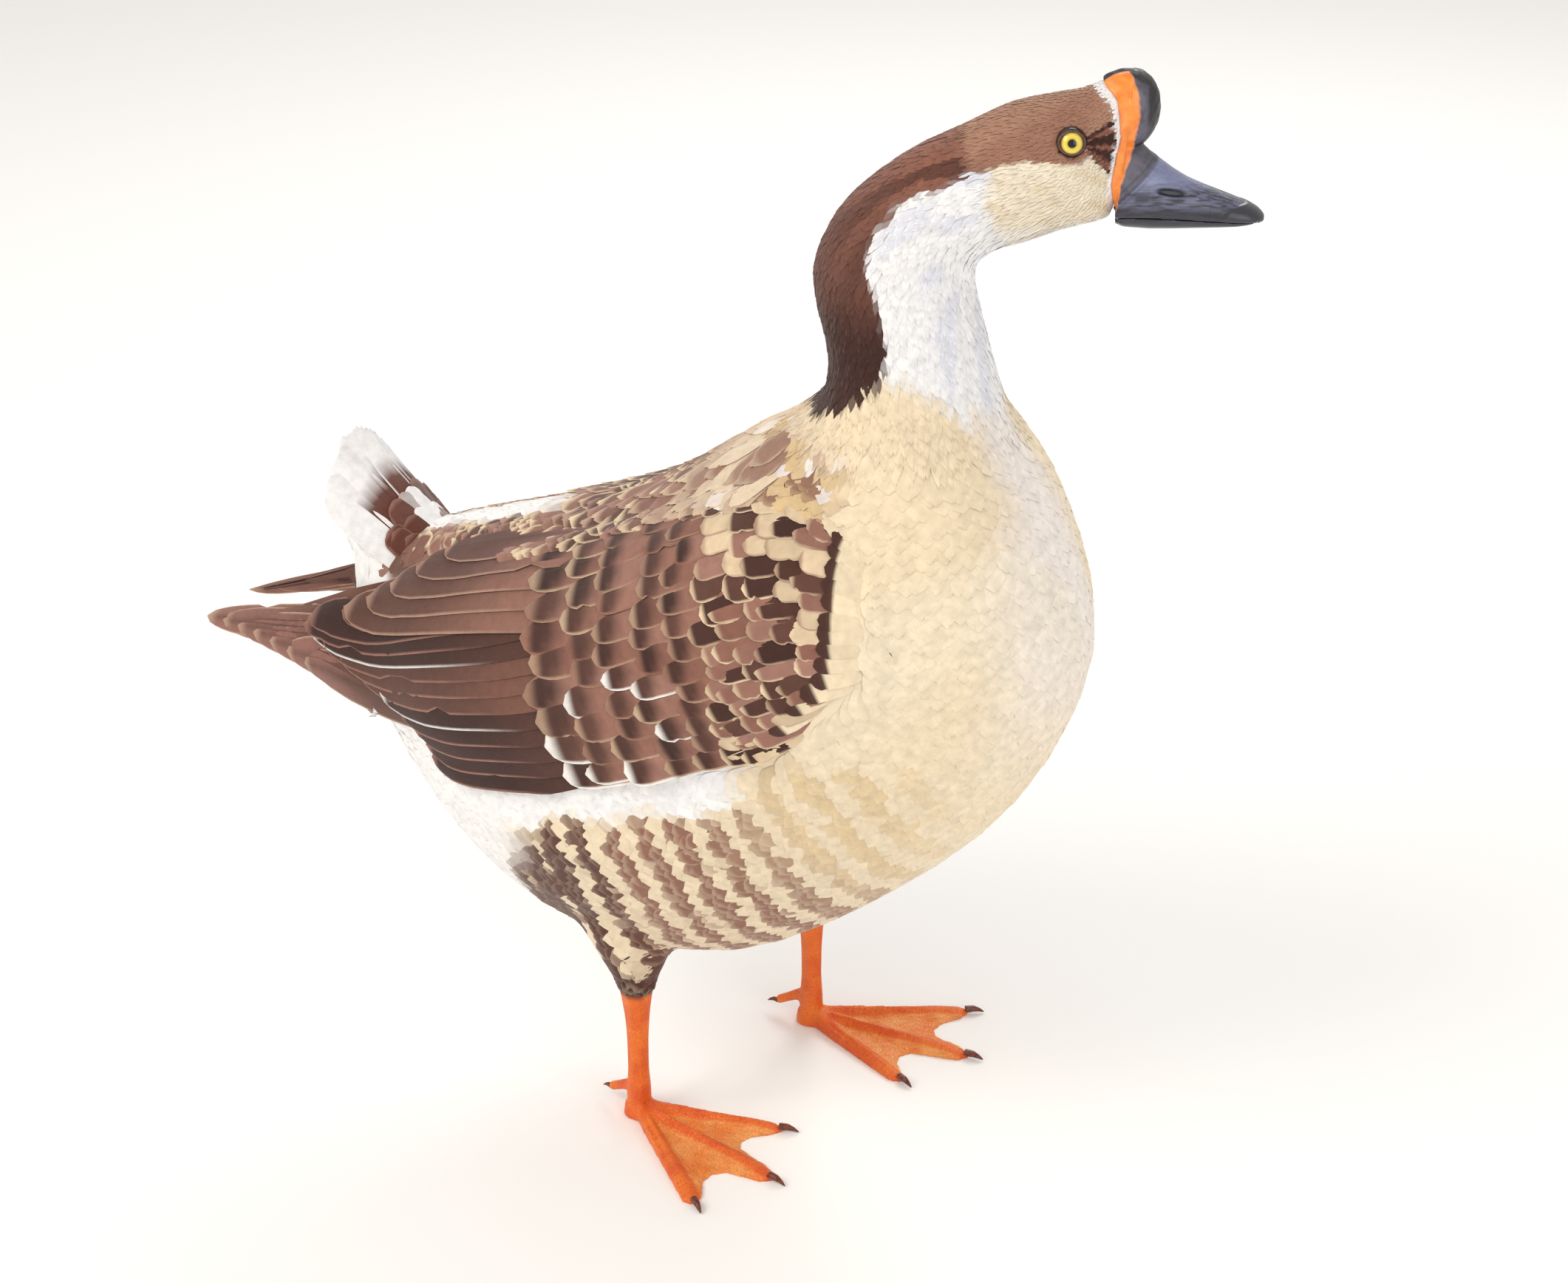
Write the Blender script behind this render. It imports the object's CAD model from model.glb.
"""The looks of a knob-billed brown domestic goose, standing, as a life-size still model.

Metres, +Z up. The goose faces +X, with its left side towards +Y. One skin lies under a
coat of feathers that are all solid mesh: fine plush on the head, narrow locks on the neck,
rounded vanes on the body, and long quills in the wings and tail.
"""

import math

import bmesh
import bpy
import numpy as np
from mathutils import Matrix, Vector
from mathutils.bvhtree import BVHTree


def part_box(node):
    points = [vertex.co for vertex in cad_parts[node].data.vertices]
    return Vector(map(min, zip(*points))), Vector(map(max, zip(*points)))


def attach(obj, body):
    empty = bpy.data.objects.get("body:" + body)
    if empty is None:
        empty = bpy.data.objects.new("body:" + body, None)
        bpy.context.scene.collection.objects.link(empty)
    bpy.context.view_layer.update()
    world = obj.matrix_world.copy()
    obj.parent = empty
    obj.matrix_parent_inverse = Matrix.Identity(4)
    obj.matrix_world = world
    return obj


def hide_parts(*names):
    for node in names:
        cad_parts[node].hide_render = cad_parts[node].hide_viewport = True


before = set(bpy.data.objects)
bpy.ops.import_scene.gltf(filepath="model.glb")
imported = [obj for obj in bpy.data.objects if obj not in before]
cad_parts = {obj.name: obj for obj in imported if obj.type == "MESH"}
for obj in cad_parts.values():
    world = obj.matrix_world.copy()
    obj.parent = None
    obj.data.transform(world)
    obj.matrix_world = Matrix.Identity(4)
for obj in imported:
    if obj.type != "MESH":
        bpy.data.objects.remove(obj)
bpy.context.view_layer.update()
scene = bpy.context.scene
scene.view_settings.view_transform = "Standard"

# ---- Camera, floor and light --------------------------------------------------------------
# A wide pale floor without a horizon, and three soft lamps as in a studio: a key from the
# upper left, a fill from the right, and a rim from behind that lifts the white feathers.
EYE_HEIGHT_ANGLE = math.radians(26)
ROUND_TO_RIGHT = math.radians(28)
CAMERA_DISTANCE = 2.0
VIEW_WIDTH = 1.01  # metres across the view at the goose
SENSOR = 36.0
LOOK_AT = Vector((0.0866, 0.0, 0.345))

camera = bpy.data.objects.new("camera", bpy.data.cameras.new("camera"))
scene.collection.objects.link(camera)
camera.data.sensor_width = SENSOR
camera.data.lens = SENSOR * CAMERA_DISTANCE / VIEW_WIDTH
camera.data.clip_end = 60
back = Vector(
    (
        math.sin(ROUND_TO_RIGHT) * math.cos(EYE_HEIGHT_ANGLE),
        -math.cos(ROUND_TO_RIGHT) * math.cos(EYE_HEIGHT_ANGLE),
        math.sin(EYE_HEIGHT_ANGLE),
    )
)
camera.location = LOOK_AT + back * CAMERA_DISTANCE
camera.rotation_euler = back.to_track_quat("Z", "Y").to_euler()
scene.camera = camera


def linear(hex_colour):
    """An sRGB hex colour as linear red, green, blue."""
    values = [int(hex_colour[k : k + 2], 16) / 255 for k in (1, 3, 5)]
    return tuple(v / 12.92 if v <= 0.04045 else ((v + 0.055) / 1.055) ** 2.4 for v in values)


def put(tree, kind, inputs=None, **settings):
    """Adds a node. Settings are its properties; inputs are values, hex colours, or sockets and
    nodes to link. A node stands for the first of its outputs that is in use."""
    node = tree.nodes.new(kind)
    for name, value in settings.items():
        setattr(node, name, value)
    for name, value in (inputs or {}).items():
        if isinstance(value, bpy.types.Node):
            value = next(output for output in value.outputs if output.enabled)
        if isinstance(value, bpy.types.NodeSocket):
            tree.links.new(value, node.inputs[name])
        elif str(value).startswith("#"):
            node.inputs[name].default_value = (*linear(value), 1.0)
        else:
            node.inputs[name].default_value = value
    return node


def new_material(name, preview):
    """An empty node material with its output, and a flat colour for solid views."""
    material = bpy.data.materials.new(name)
    material.use_nodes = True
    material.node_tree.nodes.clear()
    material.diffuse_color = (*linear(preview), 1.0)
    return material, material.node_tree


def as_object(name, form):
    """An object in the scene from a finished mesh, or from one that is still being worked on."""
    data = form
    if isinstance(form, bmesh.types.BMesh):
        data = bpy.data.meshes.new(name)
        form.to_mesh(data)
        form.free()
    obj = bpy.data.objects.new(name, data)
    scene.collection.objects.link(obj)
    return obj


def matt_floor_material():
    """Matt white card."""
    material, tree = new_material("matt_white_card", "#ffffff")
    shader = put(tree, "ShaderNodeBsdfPrincipled", {"Base Color": "#fbfaf8", "Roughness": 0.9})
    put(tree, "ShaderNodeOutputMaterial", {"Surface": shader})
    return material


floor_mesh = bmesh.new()
bmesh.ops.create_grid(floor_mesh, x_segments=2, y_segments=2, size=8.0)
floor = as_object("floor", floor_mesh)
floor.data.materials.append(matt_floor_material())

world = bpy.data.worlds.new("studio")
world.use_nodes = True
world.node_tree.nodes["Background"].inputs["Color"].default_value = (*linear("#fbf9f6"), 1.0)
world.node_tree.nodes["Background"].inputs["Strength"].default_value = 0.74
scene.world = world
LAMPS = {
    "key": ((-1.2, -1.9, 2.3), 1.6, 38.0, "#fff9f2"),
    "fill": ((2.4, -1.3, 1.4), 1.8, 18.0, "#f2f5ff"),
    "rim": ((-0.4, 2.2, 2.2), 1.2, 24.0, "#ffffff"),
}
for name, (place, size, power, tint) in LAMPS.items():
    lamp = bpy.data.objects.new(name, bpy.data.lights.new(name, "AREA"))
    lamp.data.size = size
    lamp.data.energy = power
    lamp.data.color = linear(tint)
    lamp.location = place
    lamp.rotation_euler = (Vector(place) - LOOK_AT).to_track_quat("Z", "Y").to_euler()
    scene.collection.objects.link(lamp)


# ---- Skin -----------------------------------------------------------------------------------
# The bird's own surface under its feathers: trunk, neck, head, thighs and the fleshy part of
# the wings are one closed form with no seam. It lies inside the solids by the coat's depth.
FLESH_NODES = ("trunk", "neck_low", "neck_middle", "neck_high", "head", "thigh_left", "thigh_right")
WING_FLESH = [f"wing_{hand}_{field}" for hand in ("left", "right") for field in ("shoulder", "secondaries")]
SKIN_GRAIN = 0.0034  # edge of the skin's faces
WELD = 0.00002


def live(obj):
    """A new mesh from an object with its modifiers applied."""
    bpy.context.view_layer.update()
    graph = bpy.context.evaluated_depsgraph_get()
    return bpy.data.meshes.new_from_object(obj.evaluated_get(graph))


def fixed(obj):
    """Applies an object's modifiers to its own mesh."""
    old, obj.data = obj.data, live(obj)
    obj.modifiers.clear()
    bpy.data.meshes.remove(old)
    return obj


def merged(nodes):
    """The meshes of CAD nodes in one, with each node's loose triangles merged."""
    mesh = bmesh.new()
    for node in nodes:
        mesh.from_mesh(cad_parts[node].data)
    bmesh.ops.remove_doubles(mesh, verts=mesh.verts, dist=WELD)
    return mesh


def nodes_as_one(name, nodes):
    """A copy of CAD nodes joined in one object."""
    return as_object(name, merged(nodes))


def remade(obj, grain, rounds, factor=0.5):
    """Rebuilds an object as one even, rounded surface."""
    weave = obj.modifiers.new("Remesh", "REMESH")
    weave.mode = "VOXEL"
    weave.voxel_size = grain
    weave.use_smooth_shade = True
    soften = obj.modifiers.new("Smooth", "SMOOTH")
    soften.factor = factor
    soften.iterations = rounds
    return fixed(obj)


def points_of(mesh):
    """All points of a mesh as an array."""
    flat = np.empty(len(mesh.vertices) * 3, dtype=np.float32)
    mesh.vertices.foreach_get("co", flat)
    return flat.reshape(-1, 3).astype(float)


def normals_of(mesh):
    """The surface directions at all points of a mesh."""
    flat = np.empty(len(mesh.vertices) * 3, dtype=np.float32)
    mesh.vertex_normals.foreach_get("vector", flat)
    return flat.reshape(-1, 3).astype(float)


def move_points(mesh, points):
    """Sets all points of a mesh."""
    mesh.vertices.foreach_set("co", points.astype(np.float32).ravel())
    mesh.update()


def unit(vectors):
    """Vectors scaled to length one."""
    return vectors / np.maximum(np.linalg.norm(vectors, axis=-1, keepdims=True), 1e-9)


def ramp(value, start, end):
    """0 before start, 1 after end, with a smooth turn between."""
    share = np.clip((value - start) / (end - start), 0, 1)
    return share * share * (3 - 2 * share)


def store(mesh, name, values, kind="FLOAT_VECTOR", field="vector"):
    """Stores an array on a mesh's points under a name."""
    layer = mesh.attributes.new(name, kind, "POINT")
    layer.data.foreach_set(field, np.asarray(values, dtype=np.float32).ravel())


def eased(obj, share, rounds):
    """Smooths an object's surface further where share is over 0."""
    group = obj.vertex_groups.new(name="eased")
    for k in np.flatnonzero(share > 0.01):
        group.add([int(k)], float(share[k]), "REPLACE")
    soften = obj.modifiers.new("Ease", "SMOOTH")
    soften.factor, soften.iterations, soften.vertex_group = 0.5, rounds, "eased"
    fixed(obj)
    obj.vertex_groups.clear()


TROUSERS_END = 0.0990  # height at which the feathered legs end and the bare shanks start
raw_skin = merged((*FLESH_NODES, *WING_FLESH, "eye_left", "eye_right", "bill_collar"))
for hand in ("right", "left"):
    shank = merged([f"shank_{hand}"])
    everything = [*shank.verts, *shank.edges, *shank.faces]
    bmesh.ops.bisect_plane(
        shank, geom=everything, plane_co=(0, 0, TROUSERS_END), plane_no=(0, 0, -1), clear_outer=True
    )
    bmesh.ops.holes_fill(shank, edges=shank.edges, sides=0)
    upper = bpy.data.meshes.new("upper_shank")
    shank.to_mesh(upper)
    shank.free()
    raw_skin.from_mesh(upper)
    bpy.data.meshes.remove(upper)
skin = remade(as_object("skin", raw_skin), SKIN_GRAIN, 8)

# ---- The lie of the coat --------------------------------------------------------------------
# Feathers lie from the bill towards the tail. A spine through the middle of the body gives
# that direction, the distance along the bird, and the angle round it from its back.
# Shares of the trunk's length and height.
SPINE_IN_TRUNK = ((0.06, 0.52), (0.21, 0.41), (0.41, 0.34), (0.62, 0.38), (0.76, 0.53), (0.80, 0.74))
SPINE_STEP = 0.006
SPREAD = 0.022  # how far neighbouring stretches of the spine blend


def middle_of(node):
    """The middle of a node's box."""
    low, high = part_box(node)
    return (np.array(low) + np.array(high)) / 2


def smooth_line(points, step):
    """Points at even steps on a smooth curve through the given points."""
    points = np.array(points)
    ends = [2 * points[0] - points[1], *points, 2 * points[-1] - points[-2]]
    line = []
    for before, here, there, after in zip(ends, ends[1:], ends[2:], ends[3:]):
        for u in np.arange(0, 1, 0.02):
            bend = 2 * before - 5 * here + 4 * there - after
            twist = 3 * here - before - 3 * there + after
            line.append(0.5 * (2 * here + (there - before) * u + bend * u**2 + twist * u**3))
    line = np.array(line)
    walked = np.concatenate([[0], np.cumsum(np.linalg.norm(np.diff(line, axis=0), axis=1))])
    even = np.arange(0, walked[-1], step)
    return np.stack([np.interp(even, walked, line[:, k]) for k in range(3)], axis=1)


trunk_low, trunk_high = (np.array(corner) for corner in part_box("trunk"))
spine_points = [
    (
        trunk_low[0] + (trunk_high[0] - trunk_low[0]) * along,
        0.0,
        trunk_low[2] + (trunk_high[2] - trunk_low[2]) * up,
    )
    for along, up in SPINE_IN_TRUNK
]
spine_points += [middle_of(node) for node in ("neck_low", "neck_middle", "neck_high", "head", "bill_collar")]
spine = smooth_line(spine_points, SPINE_STEP)
forward = unit(np.gradient(spine, axis=0))
eye_left, eye_right = middle_of("eye_left"), middle_of("eye_right")
head_left = unit(eye_left - eye_right)
head_turn = math.atan2(-head_left[0], head_left[1])
EYE_SHIFT = np.array([0.0014 * head_left[1], -0.0014 * head_left[0], 0.0044])  # ahead and up in the head
eye_seats = (eye_left + EYE_SHIFT, eye_right + EYE_SHIFT)


def station_of(node):
    """How far along the spine, in metres from the tail, a node's middle lies."""
    return SPINE_STEP * np.argmin(np.linalg.norm(spine - middle_of(node), axis=1))


NECK_FOOT = station_of("neck_low") - 0.045
NECK_TOP = station_of("neck_high")
HEAD = station_of("head")
turn_here = head_turn * ramp(np.arange(len(spine)) * SPINE_STEP, NECK_FOOT, HEAD - 0.02)
heading = np.stack([np.cos(turn_here), np.sin(turn_here), np.zeros(len(spine))], axis=1)
leftward = np.cross([0, 0, 1], heading)
backward = unit(np.cross(forward, leftward))


def along_the_bird(points):
    """For points: distance from the tail, angle from the back (+ to the left), forward."""
    station, angle, ahead = [], [], []
    steps = np.arange(len(spine)) * SPINE_STEP
    for batch in np.array_split(points, max(1, len(points) // 20000)):
        gap = ((batch[:, None, :] - spine[None]) ** 2).sum(axis=2)
        weight = np.exp(-(gap - gap.min(axis=1, keepdims=True)) / (2 * SPREAD**2))
        weight /= weight.sum(axis=1, keepdims=True)
        station.append(weight @ steps)
        out = batch - weight @ spine
        angle.append(np.arctan2((out * (weight @ leftward)).sum(1), (out * (weight @ backward)).sum(1)))
        ahead.append(unit(weight @ forward))
    return np.concatenate(station), np.degrees(np.concatenate(angle)), np.concatenate(ahead)


def laid_back(normals, ahead):
    """The direction of the coat: towards the tail, in the plane of the skin."""
    lie = -ahead
    return unit(lie - normals * (lie * normals).sum(axis=1, keepdims=True))


def head_frame(points):
    """Points measured from the middle between the eyes: forward, left and up."""
    out = points - (eye_left + eye_right) / 2
    ahead = np.array([head_left[1], -head_left[0], 0.0])
    return np.stack([out @ ahead, out @ head_left, out[:, 2]], axis=1)


# ---- Markings -------------------------------------------------------------------------------
# Brown cap and stripe down the back of the neck, buff cheek, white neck and throat, buff
# breast, brown-barred flanks, white vent. Skin and feathers take their colours from here.
COLOURS = {
    "crown": "#ad826a",
    "nape": "#8c5b49",
    "nape_dark": "#3e211a",
    "cheek": "#f1e4cb",
    "neck_white": "#f2f0ee",
    "neck_shade": "#d3d5e4",
    "breast": "#edd9b7",
    "breast_low": "#f0e3c8",
    "breast_edge": "#f3ece8",
    "ochre": "#d9bd8c",
    "mantle": "#e3cdb0",
    "mantle_buff": "#d4b685",
    "mantle_brown": "#8f6553",
    "flank_buff": "#e8d6b8",
    "flank_brown": "#8a5a48",
    "flank_dark": "#4f2c22",
    "vent": "#f0ece9",
    "wing_brown": "#8b5e4e",
    "wing_warm": "#a17667",
    "wing_dark": "#371b14",
    "wing_buff": "#e3cca8",
    "wing_tip": "#96685e",
    "tail_white": "#f6f4f2",
    "tail_brown": "#683c2f",
}
PAINT = {name: np.array(linear(colour)) for name, colour in COLOURS.items()}


def wander(points, size, seed):
    """Soft noise from -1 to 1 over space, made of a few waves of about the given size."""
    dice = np.random.default_rng(seed)
    waves = dice.normal(size=(6, 3)) / size
    shifts = dice.uniform(0, 6.28, 6)
    return np.sin(points @ waves.T + shifts).sum(axis=1) / 2.6


under_bill_tree = BVHTree.FromBMesh(merged(["bill_lower"]))
# Lines on the head in millimetres from the middle between the eyes: height over it and distance
# ahead of it, or for the cap's edge distance ahead and height.
FEATHER_EDGE = ((-52, 27.0), (-34, 26.6), (-21, 24.8), (-8, 27.2), (6, 29.5), (17, 28.9), (28, 26.0))
FEATHER_EDGE += ((32, 22.3), (36, 16.0))
WHITE_BACK = ((-52, 25.0), (-34, 23.6), (-23, 22.0), (-10, 23.6), (6, 26.3), (16, 24.9), (24, 22.7))
WHITE_BACK += ((30, 14.1), (36, 6.0))
BAND_FRONT = ((-50, 25.0), (-36, 28.4), (-22, 30.8), (-12, 33.9), (-2, 37.0), (17, 39.8), (29, 39.6))
BAND_FRONT += ((39, 34.9), (44, 30.0))
CAP_EDGE = ((-80, -26.0), (-61, -15.3), (-43, -8.6), (-25, -7.2), (4, -7.4), (10, -6.0), (14, 4.0))
# The stripe's half-width in degrees along the neck, and where the white starts round its foot.
STRIPE = ((0.600, 15), (0.610, 48), (0.622, 66), (0.636, 80), (0.655, 83), (0.670, 78), (0.690, 75))
STRIPE += ((0.711, 68), (0.728, 71), (0.738, 66), (0.753, 74), (0.769, 64), (0.790, 66), (0.830, 80))
WHITE_FROM = ((60, 0.645), (90, 0.640), (118, 0.622), (144, 0.609), (180, 0.598))


def line_at(value, line):
    """The second number of a line's points, at a first number."""
    return np.interp(value, *np.array(line).T)


def before_line(face, line):
    """Metres by which points of the head lie behind one of its lines."""
    return line_at(face[:, 2] * 1000, line) / 1000 - face[:, 0]


def gap_to_under_bill(points):
    """Distance from points to the lower half of the bill."""
    return np.array([under_bill_tree.find_nearest(point, 0.02)[3] or 1.0 for point in points.tolist()])


# Height of the folded wing's lower edge along the bird, and the distances between the flank's
# bars and the mantle's arcs.
UNDER_WING = ((-0.160, 0.237), (-0.050, 0.248), (0.010, 0.273), (0.080, 0.292), (0.130, 0.320))
UNDER_WING += ((0.160, 0.345),)
BAR_STEP = 0.027
MANTLE_STEP = 0.019
LORES_TOP = ((0.009, 0.023, 0.030), (0.007, 0.016, 0.018))  # distances ahead, and heights there
LORES_LOW = ((0.009, 0.0205, 0.030), (-0.002, -0.0137, -0.020))
LORES_STROKES = 13  # to a full turn round the eye


def markings(points):
    """The colour in the middle and at the rim of a feather rooted at each point."""
    station, angle, _ = along_the_bird(points)
    around = np.abs(angle)
    x, height = points[:, 0], points[:, 2]
    uneven, broad, fine = wander(points, 0.012, 1), wander(points, 0.04, 2), wander(points, 0.004, 3)
    layers = np.tile(PAINT["breast"], (2, len(points), 1))

    def lay(share, colour, middle=1.0, rim=1.0):
        """Lays a colour over middles and rims by its share, at a strength for each."""
        for layer, strength in zip(layers, (middle, rim)):
            layer += (PAINT[colour] - layer) * (strength * share)[:, None]

    # Breast: paler in soft clouds and along its lower edge.
    lay(0.75 * ramp(around + 12 * broad, 138, 172) * ramp(station, 0.42, 0.50), "breast_edge")
    lay(0.5 * ramp(broad, 0.3, 1.0) * ramp(x, 0.1, 0.2), "breast_low")
    # Flank: wavy bars on buff, near black behind, then brown, and ochre towards the breast.
    below = line_at(x, UNDER_WING) - height
    flank = ramp(x + 0.010 * uneven, -0.064, -0.050) * (1 - ramp(x + 0.02 * broad, 0.20, 0.27))
    flank *= ramp(below + 0.005 * uneven, 0.012, 0.022) * (1 - ramp(around, 160, 174))
    across = x + 0.30 * (height - 0.25) + 0.9 * (height - 0.24) ** 2 + 0.004 * broad
    rear = 1 - ramp(x + 0.008 * uneven, -0.030, 0.002)
    wave = np.sin(2 * math.pi * across / BAR_STEP) + 0.12 * uneven + 0.9 * rear
    bars = flank * ramp(wave, -0.30, 0.10)
    brown = 1 - ramp(x + 0.02 * uneven - 0.9 * np.maximum(0.27 - height, 0), 0.09, 0.17)
    dark = 1 - ramp(x + 0.02 * uneven, 0.000, 0.045)
    lay(0.6 * flank, "flank_buff")
    lay(0.95 * bars * brown, "flank_brown", rim=0.72)
    lay(0.75 * bars * (1 - brown), "ochre", rim=0.72)
    lay(0.9 * bars * dark, "flank_dark", rim=0.72)
    # White fluff along the wing's lower edge and round the vent; dark feathers on the legs.
    fluff = (1 - ramp(below + 0.005 * uneven, 0.008, 0.018)) * (1 - ramp(x + 0.012 * uneven, 0.095, 0.135))
    white = np.maximum(fluff, 1 - ramp(x + 0.010 * uneven, -0.064, -0.050)) * (around > 50)
    lay(white, "tail_white")
    lay(0.35 * white * ramp(uneven, 0.3, 1.0), "vent", rim=0.0)
    lay(1 - ramp(height + 0.003 * uneven, 0.106, 0.124), "flank_dark", rim=0.8)
    # Mantle: buff, crossed by brown arcs, with a few pale flecks.
    mantle = ramp(-around + 10 * broad, -80, -62) * (1 - ramp(station, 0.585, 0.61))
    lay(mantle, "mantle")
    lay(0.9 * mantle * ramp(uneven, 0.1, 0.7), "mantle_buff")
    arcs = np.sin(2 * math.pi * (station + 0.35 * height + 0.006 * broad) / MANTLE_STEP) + 0.35 * uneven
    arcs = mantle * ramp(arcs, 0.05, 0.45) * ramp(around + 10 * uneven, 12, 24)
    lay(0.9 * arcs * (1 - ramp(station + 0.008 * uneven, 0.578, 0.594)), "mantle_brown", rim=0.6)
    flecks = ramp(wander(points, 0.0055, 9), 0.62, 0.75)
    lay(0.8 * mantle * ramp(x, 0.06, 0.10) * flecks, "breast_edge")
    # Back: brown with buff edges. Rump: white.
    back = ramp(-around + 8 * uneven, -70, -56) * (1 - ramp(x + 0.015 * uneven, 0.020, 0.075))
    lay(0.95 * back, "wing_brown", rim=0.0)
    lay(0.7 * back * ramp(uneven, -0.2, 0.6), "wing_dark", rim=0.0)
    lay(back, "wing_warm", middle=0.0)
    lay(back * ramp(fine, -0.6, 0.6), "wing_buff", middle=0.0)
    middle_line = 1 - ramp(np.abs(points[:, 1]) + 0.004 * uneven, 0.010, 0.020)
    rump = back * (1 - ramp(x + 0.01 * uneven, -0.100, -0.060)) * middle_line
    lay(np.maximum(rump, back * (1 - ramp(x, -0.222, -0.205))), "tail_white")
    # Neck: white with bluish strokes, and a brown stripe behind that grows lighter upwards.
    along_neck = np.c_[station * 0.3, np.radians(angle) * 0.04, np.zeros(len(points))]
    neck = ramp(station + 0.004 * uneven + 0.004 * fine - line_at(around, WHITE_FROM), -0.006, 0.010)
    lay(neck, "neck_white")
    lay(0.6 * neck * ramp(wander(along_neck, 0.006, 22), 0.35, 0.8), "neck_shade", rim=0.0)
    stripe = ramp(line_at(station, STRIPE) + 3.0 * uneven + 2.0 * fine - around, -3, 3)
    stripe *= ramp(station + 0.003 * fine + 0.003 * uneven, 0.598, 0.606)
    lighter = stripe * ramp(station + 0.008 * uneven, 0.668, 0.745)
    lay(stripe, "nape_dark")
    lay(lighter, "nape")
    lay(0.8 * stripe * ramp(station, 0.765, 0.800), "crown")
    along_neck = np.c_[station * 0.25, np.radians(angle) * 0.035, np.zeros(len(points))]
    streaks = lighter * ramp(wander(along_neck, 0.006, 21), 0.0, 0.5)
    lay(streaks * (1 - ramp(station + 0.01 * uneven, 0.765, 0.81)), "flank_dark", 0.8, 0.65)
    # Head: brown cap over a buff cheek with faint strokes.
    face = head_frame(points)
    ahead, up = face[:, 0], face[:, 2]
    on_head = ramp(station, 0.772, 0.782)
    cap = on_head * ramp(up - line_at(ahead * 1000, CAP_EDGE) / 1000 + 0.0010 * fine, -0.0008, 0.0008)
    cheek = (on_head - cap) * ramp(ahead + 0.003 * uneven + 0.002 * fine, -0.046, -0.038)
    throat = ramp(-up + 0.15 * ahead + 0.002 * uneven, 0.041, 0.050)
    lay(cheek * (1 - 0.5 * throat), "cheek")
    lay(cap, "crown")
    lay(0.5 * cap * ramp(uneven, 0.2, 0.9), "nape", rim=0.0)
    lay(0.35 * cheek * ramp(wander(points * (0.35, 0.35, 1), 0.0022, 12), 0.4, 0.8), "ochre", rim=0.0)
    # Lores: dark strokes that fan out from the eye, then a white edge along the bill.
    lores = ramp(ahead, 0.0085, 0.0095) * ramp(np.interp(ahead, *LORES_TOP) - up, -0.0008, 0.0008)
    lores *= on_head * ramp(up - np.interp(ahead, *LORES_LOW) + 0.0008 * fine, -0.0008, 0.0008)
    ray = np.arctan2(up - 0.0035, ahead - 0.0040)
    strokes = ramp(np.sin(LORES_STROKES * ray) + 0.3 * fine, -0.80, -0.40)
    lay(lores, "nape_dark")
    lay(lores * (1 - strokes), "nape")
    white = ramp(ahead - line_at(up * 1000, WHITE_BACK) / 1000 + 0.0005 * fine, -0.0005, 0.0005)
    lay(white * on_head, "neck_white")
    return layers


# The skin is unwrapped onto a flat map, on which each feather takes a small patch at its root.
def unwrapped(obj, name):
    """Gives an object a flat map of its own surface under a name."""
    obj.data.uv_layers.new(name=name)
    for other in bpy.context.selected_objects:
        other.select_set(False)
    bpy.context.view_layer.objects.active = obj
    obj.select_set(True)
    bpy.ops.object.mode_set(mode="EDIT")
    bpy.ops.mesh.select_all(action="SELECT")
    bpy.ops.uv.smart_project(angle_limit=math.radians(66), island_margin=0.002)
    bpy.ops.object.mode_set(mode="OBJECT")
    obj.select_set(False)
    return obj


COAT_DEPTH = {"body": 0.0020, "neck": 0.0013, "head": 0.0010}


def coat_depth(points, station):
    """How far the skin lies inside the bird's outline."""
    to_neck = ramp(station, NECK_FOOT - 0.04, NECK_FOOT + 0.04)
    to_head = ramp(station, NECK_TOP, HEAD - 0.01)
    depth = COAT_DEPTH["body"] + (COAT_DEPTH["neck"] - COAT_DEPTH["body"]) * to_neck
    depth += (COAT_DEPTH["head"] - depth) * to_head
    return depth - (depth + 0.0010) * (1 - ramp(points[:, 2], 0.103, 0.110))


brow = head_frame(points_of(skin.data))
eased(skin, ramp(brow[:, 0], 0.000, 0.010) * (1 - ramp(before_line(brow, FEATHER_EDGE), 0.0, -0.006)), 7)
skin_points = points_of(skin.data)
skin_station, skin_angle, _ = along_the_bird(skin_points)
skin_normals = normals_of(skin.data)
skin_points -= skin_normals * coat_depth(skin_points, skin_station)[:, None]
for eye, out in zip(eye_seats, (head_left, -head_left)):
    gap = skin_points - eye
    beside = np.linalg.norm(gap - np.outer(gap @ out, out), axis=1)
    sunk = (1 - ramp(beside, 0.0058, 0.0085)) * ramp(gap @ out, 0.0, 0.001)
    skin_points -= np.outer(sunk * (gap @ out + 0.001), out)
ahead_of_edge = ramp(-before_line(head_frame(skin_points), FEATHER_EDGE), 0.0, 0.002)
skin_points -= skin_normals * (0.0010 * ahead_of_edge * (skin_station > HEAD))[:, None]
move_points(skin.data, skin_points)
unwrapped(skin, "OFBake")
skin_colour, _ = markings(skin_points)
store(skin.data, "skin_out", normals_of(skin.data))
store(skin.data, "tint", np.c_[skin_colour, np.ones(len(skin_colour))], "FLOAT_COLOR", "color")


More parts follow.
